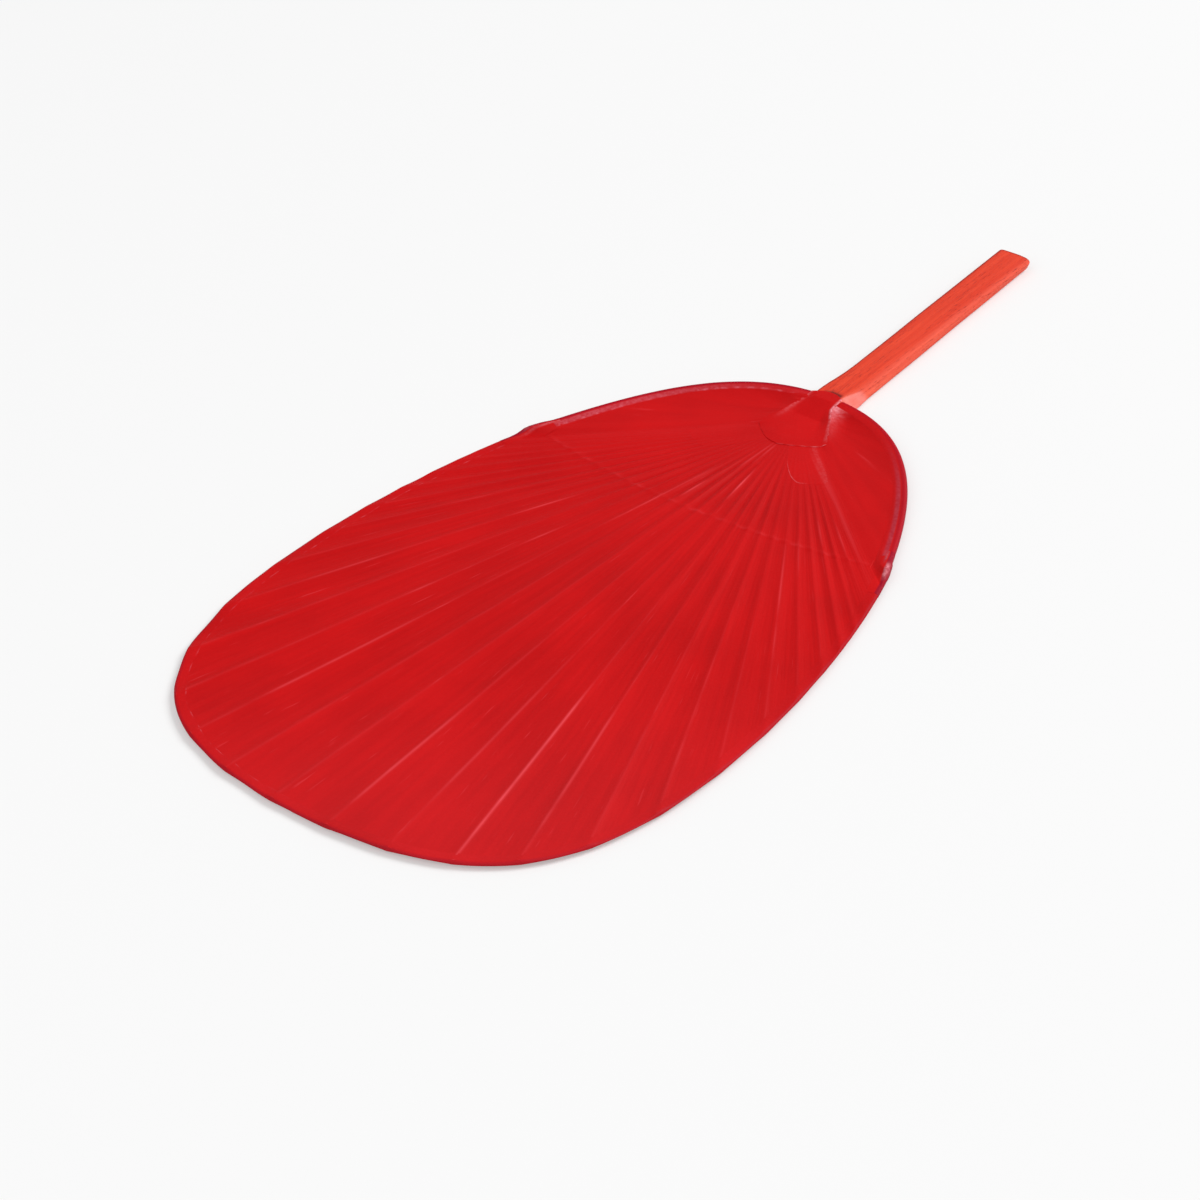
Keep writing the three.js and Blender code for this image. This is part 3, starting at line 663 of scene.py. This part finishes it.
# One column: its rib, the way it lies from the rib, and how far in mm and as a share of the room
def ribColumns():
    columns = []
    half = ribs["half"]
    steps = list(zip(sheet["offsets"], sheet["shares"]))
    for i in range(half - 1, -1, -1):
        crest = [(1, 0, 0), (0, 0, 0), (-1, 0, 0)] if i == half - 1 else [(0, 0, 0)]
        marks = [(1, *step) for step in reversed(steps)] + crest + [(-1, *step) for step in steps]
        columns += [(i, *mark) for mark in marks] + [(i, -1, None, 0.5)]
        if i > 0:
            columns += [(i, -1, None, 1.0), (i - 1, 1, None, 0.5)]
    return columns


def ribOffset(i, way, wide, share, depth):
    beside = edgeBand(depth) if i == ribs["half"] - 1 else 0.0
    room = ribPitch(i if way < 0 else min(i + 1, ribs["half"] - 1), depth) / 2
    if way < 0:
        beside = min(beside, 0.6 * room)
        room -= beside
    if wide is None:
        last = min(sheet["offsets"][-1], sheet["shares"][-1] * room)
        return way * (beside + mix(last, room, share))
    return way * (beside + min(wide, share * room))


def ribPoint(side, column, depth):
    i, way, wide, share = column
    angle = math.atan((i + 0.5) * ribSpread * clamp(depth / ribs["bend"]))
    offset = ribOffset(i, way, wide, share, depth)
    beside = clamp(i + way, 0, ribs["half"] - 1)
    between = share / 2 if wide is None else 0.0
    wander = mix(ribWander(side, i, depth), ribWander(side, beside, depth), between)
    x = ribX(i + 0.5, depth) + side * wander + offset * math.cos(angle)
    y = ribs["startY"] - depth + offset * math.sin(angle)
    return x, y


# Between the ribs the edge draws in a little
def edgeHollow(side, x, y):
    q = ribPlace(x, ribs["startY"] - y)
    deep = sheet["hollow"] * (0.3 + 0.7 * chance(side * int(q + 0.5), 7))
    deep *= math.cos(math.pi * q) ** 2 * smooth(-170, -225, y)
    return deep if side < 0 else 0.4 * deep


def ribRows(side, column):
    def spot(depth):
        return ribPoint(side, column, depth)

    def aboveCord(depth):
        x, y = spot(depth)
        return y > cordY(x)

    def depthAt(inset):
        def inside(depth):
            x, y = spot(depth)
            return y > -blade["length"] and x < sheet["beyond"] and edgeSpot(x, y)[1] > inset
        return lastHeld(inside, *sheet["edgeSearch"])

    cord = lastHeld(aboveCord, *sheet["cordSearch"])
    foot = depthAt(sheet["ribFoot"])
    ragged = sheet["edge"] + sheet["ragged"] * (1 + wobble(column[0] * side + column[3], 1, 2.3, 9))
    ragged += edgeHollow(side, *spot(depthAt(ragged)))
    before = cord - sheet["cordBand"]
    past = min(cord + sheet["cordBand"], mix(cord, foot, 0.6))  # the edge rib soon meets the rim
    depths = []
    for start, end, key in ((0, before, "toCord"), (before, past, "atCord"), (past, foot, "toRim")):
        depths += [mix(start, end, k / sheet[key]) for k in range(sheet[key])]
    last = depthAt(ragged)
    depths += [mix(foot, last, k / (sheet["atRim"] - 1)) for k in range(sheet["atRim"])]
    return [spot(depth) for depth in depths], depths


def windowRows(start, foot, follow, rib):
    runs = [0.0]
    for a, b in zip(rib, rib[1:]):
        runs.append(runs[-1] + math.dist(a, b))
    points = []
    for run, spot in zip(runs, rib):
        share = run / runs[-1]
        bulge = Vector(spot) - Vector(rib[0]).lerp(Vector(rib[-1]), share)
        points.append((start.lerp(foot, share) + follow * bulge, share))
    return points


# Section where the paper climbs from the window onto the bow: inset and z
def climbSection(t, up, level, footAt):
    radius = bowSkin(t)
    first = bowLeave(t, up, radius)
    climb = sheet["atRim"] // 2
    points = []
    for k in range(climb):
        f = k / climb
        points.append((mix(footAt, first[0], f), mix(level, first[1], f * (1.5 - 0.5 * f))))
    for k in range(sheet["atRim"] - climb):
        angle = math.radians(mix(bow["leave"], 150, k / (sheet["atRim"] - climb - 1)))
        points.append((bowInset(t) + radius * math.cos(angle), bowZ(t) + up * radius * math.sin(angle)))
    rimZ = ribs["middle"] + up * (skin["crest"] - 0.2)
    out = []
    for k, (inset, z) in enumerate(points):
        even = mix(footAt, sheet["edge"], k / (sheet["atRim"] - 1))
        out.append((mix(even, inset, onBow(t)), mix(rimZ, z, onBow(t))))
    return out


# Columns between the bow and the edge rib; the last ones slant to run beside the rib
def windowColumns(side, up, rows):
    plan = ribRows(side, ribColumns()[0])[0]
    ribLine = plan[:rows - sheet["atRim"] + 1]
    ribX0, ribY0 = ribLine[0]
    inner, outer = edgeSpot(*ribLine[-1])[0], edgeSpot(*plan[-1])[0] + sheet["seam"]
    columns = []
    for j in range(sheet["windows"]):
        f = j / (sheet["windows"] - 1)
        follow = f ** 3
        t = mix(neckStop, outer, f)
        footAt = mix(footInset(t), sheet["ribFoot"], follow)
        slant = follow * (inner - outer + sheet["seam"]) / (sheet["ribFoot"] - sheet["edge"])
        startX = mix(bow["neckSide"], ribX0 + 0.3, 1 - (1 - f) ** 2)
        start = Vector((startX, mix(-12, ribY0, f)))
        foot = edgeAt(t + slant * (footAt - sheet["edge"]), footAt)
        base = paperPoint(side * foot.x, foot.y, up, side)[2]
        level = mix(footLevel(side, t, up, footAt), base, follow)
        q = side * (ribs["half"] + 0.8 * (1 - f))
        points = []
        for p, share in windowRows(start, foot, follow, ribLine)[:-1]:
            x, y, z, paintedSheen, wearAndSheen, place = paperPoint(side * p.x, p.y, up, side)
            points.append((x, y, z + share ** 2 * (level - base), paintedSheen, wearAndSheen, q))
        for inset, z in climbSection(t, up, level, footAt):
            p = edgeAt(t + slant * (inset - sheet["edge"]), inset)
            points.append((side * p.x, p.y, z, 0.0, 0.0, q))
        columns.append(points)
    return columns


paperTrees = {}


def paperSheet(name, up, node):
    rows = sum(sheet[key] for key in ("toCord", "atCord", "toRim", "atRim"))
    halves = []
    for side in (1, -1):
        half = windowColumns(side, up, rows)
        for column in ribColumns():
            half.append([paperPoint(side * x, y, up, side) for x, y in ribRows(side, column)[0]])
        halves.append(half)
    axis = zip(*ribRows(1, (0, -1, None, 1.0)))
    middle = [paperPoint(ribShift(1, 0, depth), y, up, 0) for (x, y), depth in axis]
    columns = halves[0] + [middle] + halves[1][::-1]

    def place(c, r):
        x, y, z, paintedSheen, wearAndSheen, q = columns[c][r]
        return (x, y, z), (paintedSheen, wearAndSheen, (q, y / 30))

    bm, found = carriedGrid(len(columns), rows, place, lambda centre: Vector((0, 0, up)))
    paintedSheen, wearAndSheen, uv = zip(*found)
    paperTrees[up] = BVHTree.FromBMesh(bm)
    makePiece(name, bm, redPaper, node, {"paintedSheen": paintedSheen, "wearAndSheen": wearAndSheen}, skin["thick"], uv)


paperSheet("front_sheet", 1, "front_paper")
paperSheet("back_sheet", -1, "back_paper")


# Height of the outer face of a paper sheet, None beyond its edge
def paperHit(x, y, up):
    hit = paperTrees[up].ray_cast(Vector((x, y, 20 * up)), Vector((0, 0, -up)))[0]
    return hit.z if hit else None


def paperTop(x, y, up):
    z = paperHit(x, y, up)
    return ribs["middle"] + up * skin["crest"] if z is None else z


# Strips pasted over the edge, from the front paper, w = 0, round the edge to the back paper, w = 1
wrap = {"thick": 0.2, "turn": 1.3, "bulge": 1.2, "pressed": 0.15}


def wrapSection(t, w, leg, reach, over):
    side, at, up = sideOf(t), abs(t), 1 if w < 0.5 else -1
    rim = edgeAt(at, wrap["turn"])
    turnAt = mix(wrap["turn"] + edgeHollow(side, rim.x, rim.y), bowInset(at), onBow(at))
    f = min(w, 1 - w) / leg
    if f < 1:
        inset = mix(reach, turnAt, f)
        over *= mix(wrap["pressed"], 1, smooth(0, 0.6, f))  # the strip's edge is pressed down
        p = edgeAt(at, inset)
        return inset, paperTop(side * p.x, p.y, up) + up * over
    bulge = mix(wrap["bulge"], bowSkin(at), onBow(at)) + over
    p = edgeAt(at, turnAt)
    high = paperTop(side * p.x, p.y, 1) + over
    low = paperTop(side * p.x, p.y, -1) - over
    turn = math.pi * (w - leg) / (1 - 2 * leg)
    inset = max(turnAt - bulge * math.sin(turn), 0.03)
    z = mix(low, high, (math.cos(turn) + 1) / 2)
    p = edgeAt(at, inset)
    under = paperHit(side * p.x, p.y, up)  # the strip stays outside the paper up to the paper's edge
    if under is not None:
        z = max(z, under + over) if up > 0 else min(z, under - over)
    return inset, z


def foldedStrip(name, ends, size, section, marks, node, material):
    stations = [mix(*ends, k / size["steps"]) for k in range(size["steps"] + 1)]

    def place(c, r):
        t, w = stations[c], r / (size["sides"] - 1)
        inset, z = section(t, w)
        p = edgeAt(abs(t), inset)
        return (sideOf(t) * p.x, p.y, z), marks(t, w)

    def outward(centre):
        rim = edgeAt(edgeSpot(centre.x, centre.y)[0], 3.0)
        return Vector((centre.x - sideOf(centre.x) * rim.x, centre.y - rim.y, centre.z - 2.2))

    bm, found = carriedGrid(len(stations), size["sides"], place, outward)
    wearAndSheen, fold = zip(*found)
    makePiece(name, bm, material, node, {"wearAndSheen": wearAndSheen, "fold": fold}, wrap["thick"])


rimStrip = {"reach": 4.0, "ragged": 0.45, "steps": 420, "sides": 31, "end": 1.9, "leg": 0.4,
            "over": 0.06, "line": 0.3}


def rimSection(t, w):
    reach = rimStrip["reach"] + rimStrip["ragged"] * wobble(t * 90, 0, 7, 13.0)
    return wrapSection(t, w, rimStrip["leg"], reach, rimStrip["over"])


# Pale dotted inner edge on the far side, and painted shade in dark crimson on the outer turn
def rimMarks(t, w):
    grain = smooth(0.45, 0.75, 0.5 + 0.8 * wobble(t * 90, w * 4, 2.5, 14.0))
    inner = max(1 - w / 0.06, 0) * grain * smooth(0.2, -0.4, t)
    return rimStrip["line"] * inner, 0.35 * smooth(0.4, 0.44, min(w, 1 - w))


foldedStrip("rim_strip", (-rimStrip["end"], rimStrip["end"]), rimStrip, rimSection, rimMarks, "rim_binding",
            bindingPaper)

# Painted sheen on each side: its pale share and its darkening
bowStrip = {"steps": 120, "sides": 37, "leg": 0.25, "reach": 3.6, "neckX": 5.6, "pastEar": 6.8, "over": 0.06,
            "neckReach": 0.3, "farSheen": (0.2, 0.25), "nearSheen": (0.14, 0.55)}


def bowSection(t, w):
    over = bowStrip["over"] + 0.02 * wobble(t * 60, w * 3, 3, 15.0)
    share = mix(bowStrip["neckReach"], 1.0, smooth(2.98, 2.86, abs(t)))  # narrow beside the handle
    return wrapSection(t, w, bowStrip["leg"], bowInset(abs(t)) + bowStrip["reach"] * share, over)


# Pale torn inner edge on the far strip, a painted sheen along the inner band, and painted shade in dark
# crimson on the outer turn
def bowMarks(t, w):
    grain = smooth(0.4, 0.75, 0.5 + 0.9 * wobble(t * 80, w * 5, 1.7, 16.0))
    inward = min(w, 1 - w)
    wearAndSheen, dark = bowStrip["farSheen" if t < 0 else "nearSheen"]
    if t < 0:
        line = max(1 - abs(w - 0.04) / 0.05, 0) * (0.12 + 0.4 * grain) * smooth(-2.98, -2.75, t)
        sheen = band((0.0, 0.05), (0.2, 0.15), w) * (0.2 + 0.8 * smooth(-2.85, -2.35, t))
        return max(line, wearAndSheen * sheen), max(dark * sheen, 0.7 * smooth(0.18, 0.23, inward))
    sheen = band((0.04, 0.12), (0.2, 0.16), w) * smooth(2.75, 2.3, t)
    fold = 0.4 * smooth(0.19, 0.24, inward) + 0.35 * smooth(0.33, 0.42, inward)
    return wearAndSheen * sheen * (0.9 + 0.1 * grain), max(dark * sheen, fold)


# Near and far: painted highlight and wear on the crown, start of the painted sheen, its pale share and its
# darkening
earPatch = {"from": 1.87, "steps": 60, "sides": 41, "leg": 0.3, "over": 0.11, "reach": (4.4, 3.8),
            "knot": 1.985, "lump": 0.22, "farLump": 0.11,
            "near": (0.7, 2.01, 0.14, 0.55), "far": (0.15, 1.9, 0.2, 0.25)}


def earSection(t, w):
    at = abs(t)
    knot = math.exp(-((at - earPatch["knot"]) / 0.022) ** 2) * smooth(0.15, 0.32, min(w, 1 - w))
    crumple = 0.08 * wobble(t * 120, w * 9, 1.9, 17.0) + 0.05 * wobble(t * 200, w * 14, 1.5, 18.0)
    ends = band((earPatch["from"], 1.9), (earPatchEnd, mix(2.0, earPatchEnd, 0.7)), at)
    over = earPatch["over"] * (0.8 + 0.2 * ends) + knot * (earPatch["lump" if t > 0 else "farLump"] + crumple)
    return wrapSection(t, w, earPatch["leg"], mix(*earPatch["reach"], smooth(1.9, 2.0, at)), over)


# Painted highlight and wear on the lump's crown, a painted sheen along the inner band, and painted shade in
# dark crimson on the outer turn
def earMarks(t, w):
    wornAndSheen, start, wearAndSheen, dark = earPatch["near" if t > 0 else "far"]
    grain = 0.75 + 0.6 * wobble(t * 150, w * 10, 1.4, 20.0)
    crown = max(1 - abs(w - 0.34) / 0.1, 0) * smooth(0.05, 0.015, abs(abs(t) - earPatch["knot"]))
    sheen = band((0.05, 0.14), (0.25, 0.19), w) * smooth(start, 2.05, abs(t))
    fold = max(dark * sheen, 0.85 * smooth(0.25, 0.31, min(w, 1 - w)))
    return min(max(crown * grain * wornAndSheen, wearAndSheen * sheen), 1.0), fold


bowEnd = lastHeld(lambda t: edgeAt(t, bowInset(t)).x > bowStrip["neckX"], 2.0, 3.0, 40)
for side, word in ((1, "right"), (-1, "left")):
    ends = (side * pastEar(bowStrip["pastEar"]), side * bowEnd)
    foldedStrip("bow_strip_" + word, ends, bowStrip, bowSection, bowMarks, "bow_binding_" + word,
                bindingPaper)
for side, word in ((1, "right"), (-1, "left")):
    ends = (side * earPatch["from"], side * earPatchEnd)
    foldedStrip("ear_cover_" + word, ends, earPatch, earSection, earMarks, "ear_patch_" + word,
                patchPaper)

# Bamboo strip of the handle: its far side, and its near side at the top and at the floor, taper along y
handle = {
    "start": -17.5, "end": 129.0, "rings": 130, "sides": 56, "thick": 5.2, "nearRound": 1.9, "farRound": 1.1,
    "lip": 0.5, "nearPower": 4.2, "farPower": 9.0, "crown": 0.35, "far": -5.1, "nearTop": (5.0, 7.3),
    "nearLow": (9.5, 8.5),
}


def handleSides(y):
    far = handle["far"] - 0.024 * max(y - 24, 0.0) - 0.9 * (1 - smooth(1, 20, y))
    nearTop = mix(*handle["nearTop"], smooth(0, 9, y)) - 0.011 * max(y - 9, 0.0) + 0.5 * smooth(112, 129, y)
    nearLow = mix(*handle["nearLow"], smooth(1, 13, y)) - 0.029 * max(y - 13, 0.0)
    return far, nearTop, nearLow


# The last rings crowd together on the rounded end
def handleY(w):
    tail, length = 0.1, 4
    if w < 1 - tail:
        return mix(handle["start"], handle["end"] - length, w / (1 - tail))
    return handle["end"] - length * (1 - math.sin((w - 1 + tail) / tail * math.pi / 2))


def endRound(y, reach):
    over = max(y - (handle["end"] - reach), 0.0)
    return reach - math.sqrt(max(reach * reach - over * over, 0.0))


# Place on the strip, and how wide and tall it lies in the section, both from -1 to 1
def handlePoint(turn, w):
    y = handleY(w)
    c, s = math.cos(turn), math.sin(turn)
    power = 2 / handle["nearPower" if c > 0 else "farPower"]
    wide, tall = math.copysign(abs(c) ** power, c), math.copysign(abs(s) ** power, s)
    far, nearTop, nearLow = handleSides(y)
    far += endRound(y, handle["farRound"])
    near = mix(nearLow, nearTop, smooth(-1, 1, tall)) - endRound(y, handle["nearRound"])
    x = mix(far, near, (wide + 1) / 2) + 0.1 * wobble(c, y, 30, 23.0)
    pinch = endRound(y, handle["lip"])
    hollow = max(smooth(10, 7, y) * smooth(0.9, 0.5, wide), smooth(-1, -6, y))
    low = 1.2 * hollow + pinch  # room for the back patch and the back paper
    high = handleTop(y) - pinch
    crown = handle["crown"] * max(wide, 0.0) ** 2 * smooth(0.3, 1.0, tall)  # lower at the near edge
    grain = 0.05 * wobble(wide * 6, y * 0.06, 0.9, 21.0) + 0.08 * wobble(wide * 2, y, 24, 22.0)
    z = mix(low, high, (tall + 1) / 2) - crown + grain * max(tall, 0.0)
    return (x, y, z), wide, tall


# Near rounded side painted lighter as lit, bare wood beside the neck, a painted shadow in the gap under the
# patch and painted shade on the sawn faces
def handleMarks(x, y, z, wide, tall):
    edge = smooth(0.55, 0.95, wide) * smooth(-0.9, -0.2, tall)
    bare = smooth(-4, 0, y) * smooth(9.5, 6.5, y + (tall - 1) * 1.5) * smooth(0.78, 0.9, wide)
    bare *= clamp(0.8 + 0.4 * wobble(y, z, 2.0, 24.0))
    shade = band((-3.4, -1.4), (4.2, 3.0), x) * smooth(2.6, 0.9, y) * smooth(0.5, 0.9, tall)
    sawn = max(smooth(0.8, 0.89, -wide), smooth(-1.3, -0.6, y - handle["end"]))
    return edge, bare, max(shade, 0.6 * sawn)


def bambooStrip():
    bm = bmesh.new()
    bmesh.ops.create_cone(bm, cap_ends=True, segments=handle["sides"], radius1=1, radius2=1, depth=1)
    lengthwise = [e for e in bm.edges if abs(e.verts[0].co.z - e.verts[1].co.z) > 0.5]
    bmesh.ops.subdivide_edges(bm, edges=lengthwise, cuts=handle["rings"] - 2)
    found = []
    for vert in bm.verts:
        (x, y, z), wide, tall = handlePoint(math.atan2(vert.co.y, vert.co.x), vert.co.z + 0.5)
        vert.co = (x, y, clamp(z, 0.0, handle["thick"]))
        found.append(handleMarks(x, y, z, wide, tall))
    bm.normal_update()
    bmesh.ops.recalc_face_normals(bm, faces=bm.faces)
    edge, wearAndSheen, gap = zip(*found)
    values = {"edge": edge, "wearAndSheen": wearAndSheen, "gap": gap}
    makePiece("bamboo_strip", bm, stainedBamboo, "split_bamboo_handle", values)


def vertsOf(parts):
    return [part for part in parts if isinstance(part, bmesh.types.BMVert)]


# The ribs are copies of one slender bar, bent along their lines
def splitRibs():
    bm = bmesh.new()
    bmesh.ops.create_cube(bm, size=1.0)
    lengthwise = [e for e in bm.edges if abs(e.verts[0].co.y - e.verts[1].co.y) > 0.5]
    bmesh.ops.subdivide_edges(bm, edges=lengthwise, cuts=16)
    pattern = bm.verts[:] + bm.edges[:] + bm.faces[:]
    for side in (1, -1):
        for i in range(ribs["half"]):
            last = ribRows(side, (i, 0, 0, 0))[1][-1]
            copy = bmesh.ops.duplicate(bm, geom=pattern)["geom"]
            for vert in vertsOf(copy):
                depth = mix(-2.5, last, 0.5 - vert.co.y)
                half = edgeBand(depth) * 0.9 if i == ribs["half"] - 1 else ribs["wide"] / 2
                x = ribX(i + 0.5, depth) + side * ribWander(side, i, depth) + 2 * vert.co.x * half
                vert.co = (side * x, ribs["startY"] - depth, ribs["middle"] + vert.co.z * ribs["thick"])
    bmesh.ops.delete(bm, geom=vertsOf(pattern), context="VERTS")
    bmesh.ops.recalc_face_normals(bm, faces=bm.faces)
    makePiece("split_ribs", bm, stainedBamboo, "split_bamboo_handle")


bambooStrip()
splitRibs()


# Neck papers: the tent-like front patch, a lobed underlay and the flat back patch
def neckSheet(name, size, place, up, node):
    bm, found = carriedGrid(size["columns"], size["rows"], place, lambda centre: Vector((0, 0, up)))
    makePiece(name, bm, patchPaper, node, {"wearAndSheen": found}, wrap["thick"])


frontCover = {
    "columns": 60, "rows": 84, "farTop": -2.6, "midTop": 0.4, "nearTop": -1.8, "tongue": 7.6,
    "nearCurve": 1.3, "farCurve": 1.9, "mostZ": 5.5, "lip": (0.76, 0.93), "lipRise": 0.15, "lipRough": 0.4,
    "lipWaver": 0.6, "sheen": (0.14, 0.34), "sheenX": -7.0, "sheenHalf": 0.9,
}


def frontPatchPlace(c, r):
    own = frontCover
    u, v = 2 * c / (own["columns"] - 1) - 1, r / (own["rows"] - 1)
    side, word = (1, "near") if u > 0 else (-1, "far")
    top = mix(own["midTop"], own[word + "Top"], u * u)
    low = tent["foot"] - own["tongue"] * (1 - abs(u) ** own[word + "Curve"])
    low += 0.4 * wobble(u * 12, 0, 1.8, 41.0) + 1.5 * smooth(0.86, 1.0, u) ** 2
    y = mix(top, low, v)
    across = u * tentX(side, mix(top, tent["foot"], v))
    x = across + 0.1
    pasted = max(paperTop(x, y, 1), ribs["middle"] + skin["crest"]) + 0.16
    z = mix(tentHeight(across, y), pasted, smooth(0.85, 1.0, v))
    z += 0.1 * wobble(x, y, 4.5, 25.0) * smooth(0.15, 0.4, v)
    # the near edge is a torn, crumpled lip
    lip = smooth(mix(*own["lip"], smooth(0.1, 0.5, v)), 1.0, u) * smooth(0.98, 0.86, v)
    rough = wobble(x * 0.6, y, 1.7, 26.0)
    z += lip * (own["lipRise"] + own["lipRough"] * abs(rough)) * smooth(-1.5, -7.0, y)
    x += lip * own["lipWaver"] * rough
    wearAndSheen = lip * clamp(0.8 + 0.8 * wobble(y, x, 1.3, 27.0)) * mix(1.0, 0.3, smooth(0.2, 0.6, v))
    # painted highlight along the pasted lower edge
    border = 0.12 + 0.35 * wobble(x, y, 2.0, 28.0) + 0.2 * smooth(0.6, 0.8, u)
    border *= smooth(0.985, 1.0, v) * smooth(-0.2, 0.5, u)
    # painted sheen along the tent's far ridge
    sheen = mix(*own["sheen"], smooth(-10, -3, y)) * smooth(-24, -12, y)
    sheen *= math.exp(-((x - own["sheenX"] - 0.11 * y) / own["sheenHalf"]) ** 2)
    return (x, y, min(z, own["mostZ"])), clamp(max(wearAndSheen, border, sheen))


neckSheet("neck_cover_front", frontCover, frontPatchPlace, 1, "front_neck_patch")

lobes = {"columns": 110, "rows": 50, "centreY": -10.0, "reach": 38.5, "notch": 21.0, "lobe": 47.0,
         "near": (9.5, 11.0), "border": 0.3, "paintedSheen": 0.32}


def underlayPlace(c, r):
    turn = mix(-lobes["reach"], lobes["reach"], c / (lobes["columns"] - 1))
    v = r / (lobes["rows"] - 1)
    full = mix(lobes["notch"], lobes["lobe"], smooth(6, 27, abs(turn)))
    full += 0.4 * wobble(turn, 0, 5, 29.0)
    radius = mix(mix(*lobes["near"], abs(turn) / lobes["reach"]), full, v)
    x = radius * math.sin(math.radians(turn))
    y = lobes["centreY"] - radius * math.cos(math.radians(turn))
    near, far = ribs["middle"] + skin["crest"] + 0.06, paperTop(x, y, 1) + 0.02
    # painted highlight along the near lobe's edge, and the paper's painted rib highlights showing through
    border = lobes["border"] * smooth(0.98, 1.0, v) * band((16, 19), (31, 24), turn)
    wearAndSheen = max(border, lobes["paintedSheen"] * paperFace(x, y, 1)[1])
    return (x, y, mix(near, far, smooth(0.3, 0.8, v))), wearAndSheen


neckSheet("neck_underlay_sheet", lobes, underlayPlace, 1, "neck_underlay")

backCover = {"columns": 40, "rows": 56, "top": 6.0, "foot": -30.0, "tongue": 8, "neckHalf": 6.4,
             "wideHalf": 15.0, "neckShift": 1.5}


def backPatchPlace(c, r):
    own = backCover
    u, v = 2 * c / (own["columns"] - 1) - 1, r / (own["rows"] - 1)
    y = mix(own["top"], own["foot"] - own["tongue"] * max(1 - u * u, 0) ** 0.75, v)
    spread = smooth(-2, -30, mix(own["top"], own["foot"], v))
    x = u * mix(own["neckHalf"], own["wideHalf"], spread) + own["neckShift"] * (1 - spread)
    z = 0.56 + 0.08 * wobble(x, y, 5, 32.0)
    border = smooth(0.95, 1.0, max(v, abs(u))) * (0.2 + 0.3 * wobble(x, y, 2.0, 33.0))
    return (x, y, z), clamp(border)


neckSheet("neck_cover_back", backCover, backPatchPlace, -1, "back_neck_patch")

# Bow and cord under the paper: the CAD solids, the cord rounded off and kept between the papers
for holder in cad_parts["bow"].material_slots:
    holder.material = plainBamboo


def roundedCord():
    bm = bmesh.new()
    bm.from_mesh(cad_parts["weaving_cord"].data)
    bmesh.ops.remove_doubles(bm, verts=bm.verts, dist=1e-6)
    bmesh.ops.scale(bm, verts=bm.verts, vec=[1 / mm] * 3)
    bmesh.ops.translate(bm, verts=bm.verts, vec=(0, -blade["neckY"], 0))
    inset = skin["thick"] + 0.05  # clear of the paper
    for vert in bm.verts:
        at, depth = abs(vert.co.x), ribs["startY"] - vert.co.y
        shift = ribShift(sideOf(vert.co.x), ribPlace(at, depth), depth)
        vert.co.x += shift * smooth(70, 62, at)
        low = paperTop(vert.co.x, vert.co.y, -1) + inset
        high = paperTop(vert.co.x, vert.co.y, 1) - inset
        vert.co.z = clamp(vert.co.z, low, high) if low < high else (low + high) / 2
    piece = makePiece("tie_cord", bm, cottonThread, "weaving_cord")
    rounded = piece.modifiers.new("round", "SUBSURF")
    rounded.levels = rounded.render_levels = 1


roundedCord()

# Pale floor that keeps the shadow
stage = {"half": 6.0, "floor": 0.88, "paper": 0.95, "share": 0.38}


def paleFloor():
    bm = bmesh.new()
    bmesh.ops.create_grid(bm, x_segments=8, y_segments=8, size=stage["half"])
    mesh = bpy.data.meshes.new("floor")
    bm.to_mesh(mesh)
    bm.free()
    floor = bpy.data.objects.new("floor", mesh)
    bpy.context.scene.collection.objects.link(floor)
    material, shader, wire = newFinish("paleFloor")
    shader.inputs["Base Color"].default_value = (*[stage["floor"]] * 3, 1)
    shader.inputs["Roughness"].default_value = 0.9
    shader.inputs["Specular IOR Level"].default_value = 0.0
    path = wire.node("LightPath", out="Is Camera Ray")
    for other in ("Is Glossy Ray", "Is Transmission Ray"):
        path = wire.math("MAXIMUM", path, wire.node("LightPath", out=other))
    glow = wire.node("Emission", {}, {"Color": (*[stage["paper"]] * 3, 1), "Strength": 1.0})
    plain = Wire(wire.tree, shader.outputs[0])
    both = wire.node("MixShader", {}, {0: stage["share"] * path, 1: plain, 2: glow})
    output = next(n for n in material.node_tree.nodes if n.type == "OUTPUT_MATERIAL")
    plug(output, "Surface", both)
    mesh.materials.append(material)


paleFloor()

# Soft light, and the camera at the photograph's angle
studio = {"world": 0.42, "key": (2.6, 3.8, 4.2), "keySize": 3.2, "keyPower": 322.0,
          "fill": (-0.1, -1.5, 1.6), "fillSize": 2.1, "fillPower": 12.8}
lookout = {"place": (0.48131, -0.69877, 0.55784), "down": 35.173, "turn": 36.913, "lens": 90.0}

world = bpy.data.worlds.new("studio")
world.use_nodes = True
sky = world.node_tree.nodes["Background"].inputs
sky["Color"].default_value = (1, 1, 1, 1)
sky["Strength"].default_value = studio["world"]
bpy.context.scene.world = world


def softLamp(name):
    lamp = bpy.data.lights.new(name, "AREA")
    lamp.shape = "SQUARE"
    lamp.size = studio[name + "Size"]
    lamp.energy = studio[name + "Power"]
    holder = bpy.data.objects.new(name, lamp)
    holder.location = studio[name]
    holder.rotation_euler = (-Vector(studio[name])).to_track_quat("-Z", "Y").to_euler()
    bpy.context.scene.collection.objects.link(holder)


softLamp("key")
softLamp("fill")

camera = bpy.data.cameras.new("camera")
camera.lens = lookout["lens"]
camera.sensor_width = 36.0
camera.clip_start = 0.01
viewer = bpy.data.objects.new("camera", camera)
viewer.location = lookout["place"]
viewer.rotation_euler = (math.radians(90 - lookout["down"]), 0, math.radians(lookout["turn"]))
bpy.context.scene.collection.objects.link(viewer)
bpy.context.scene.camera = viewer
bpy.context.scene.view_settings.view_transform = "Standard"
print("stage set")
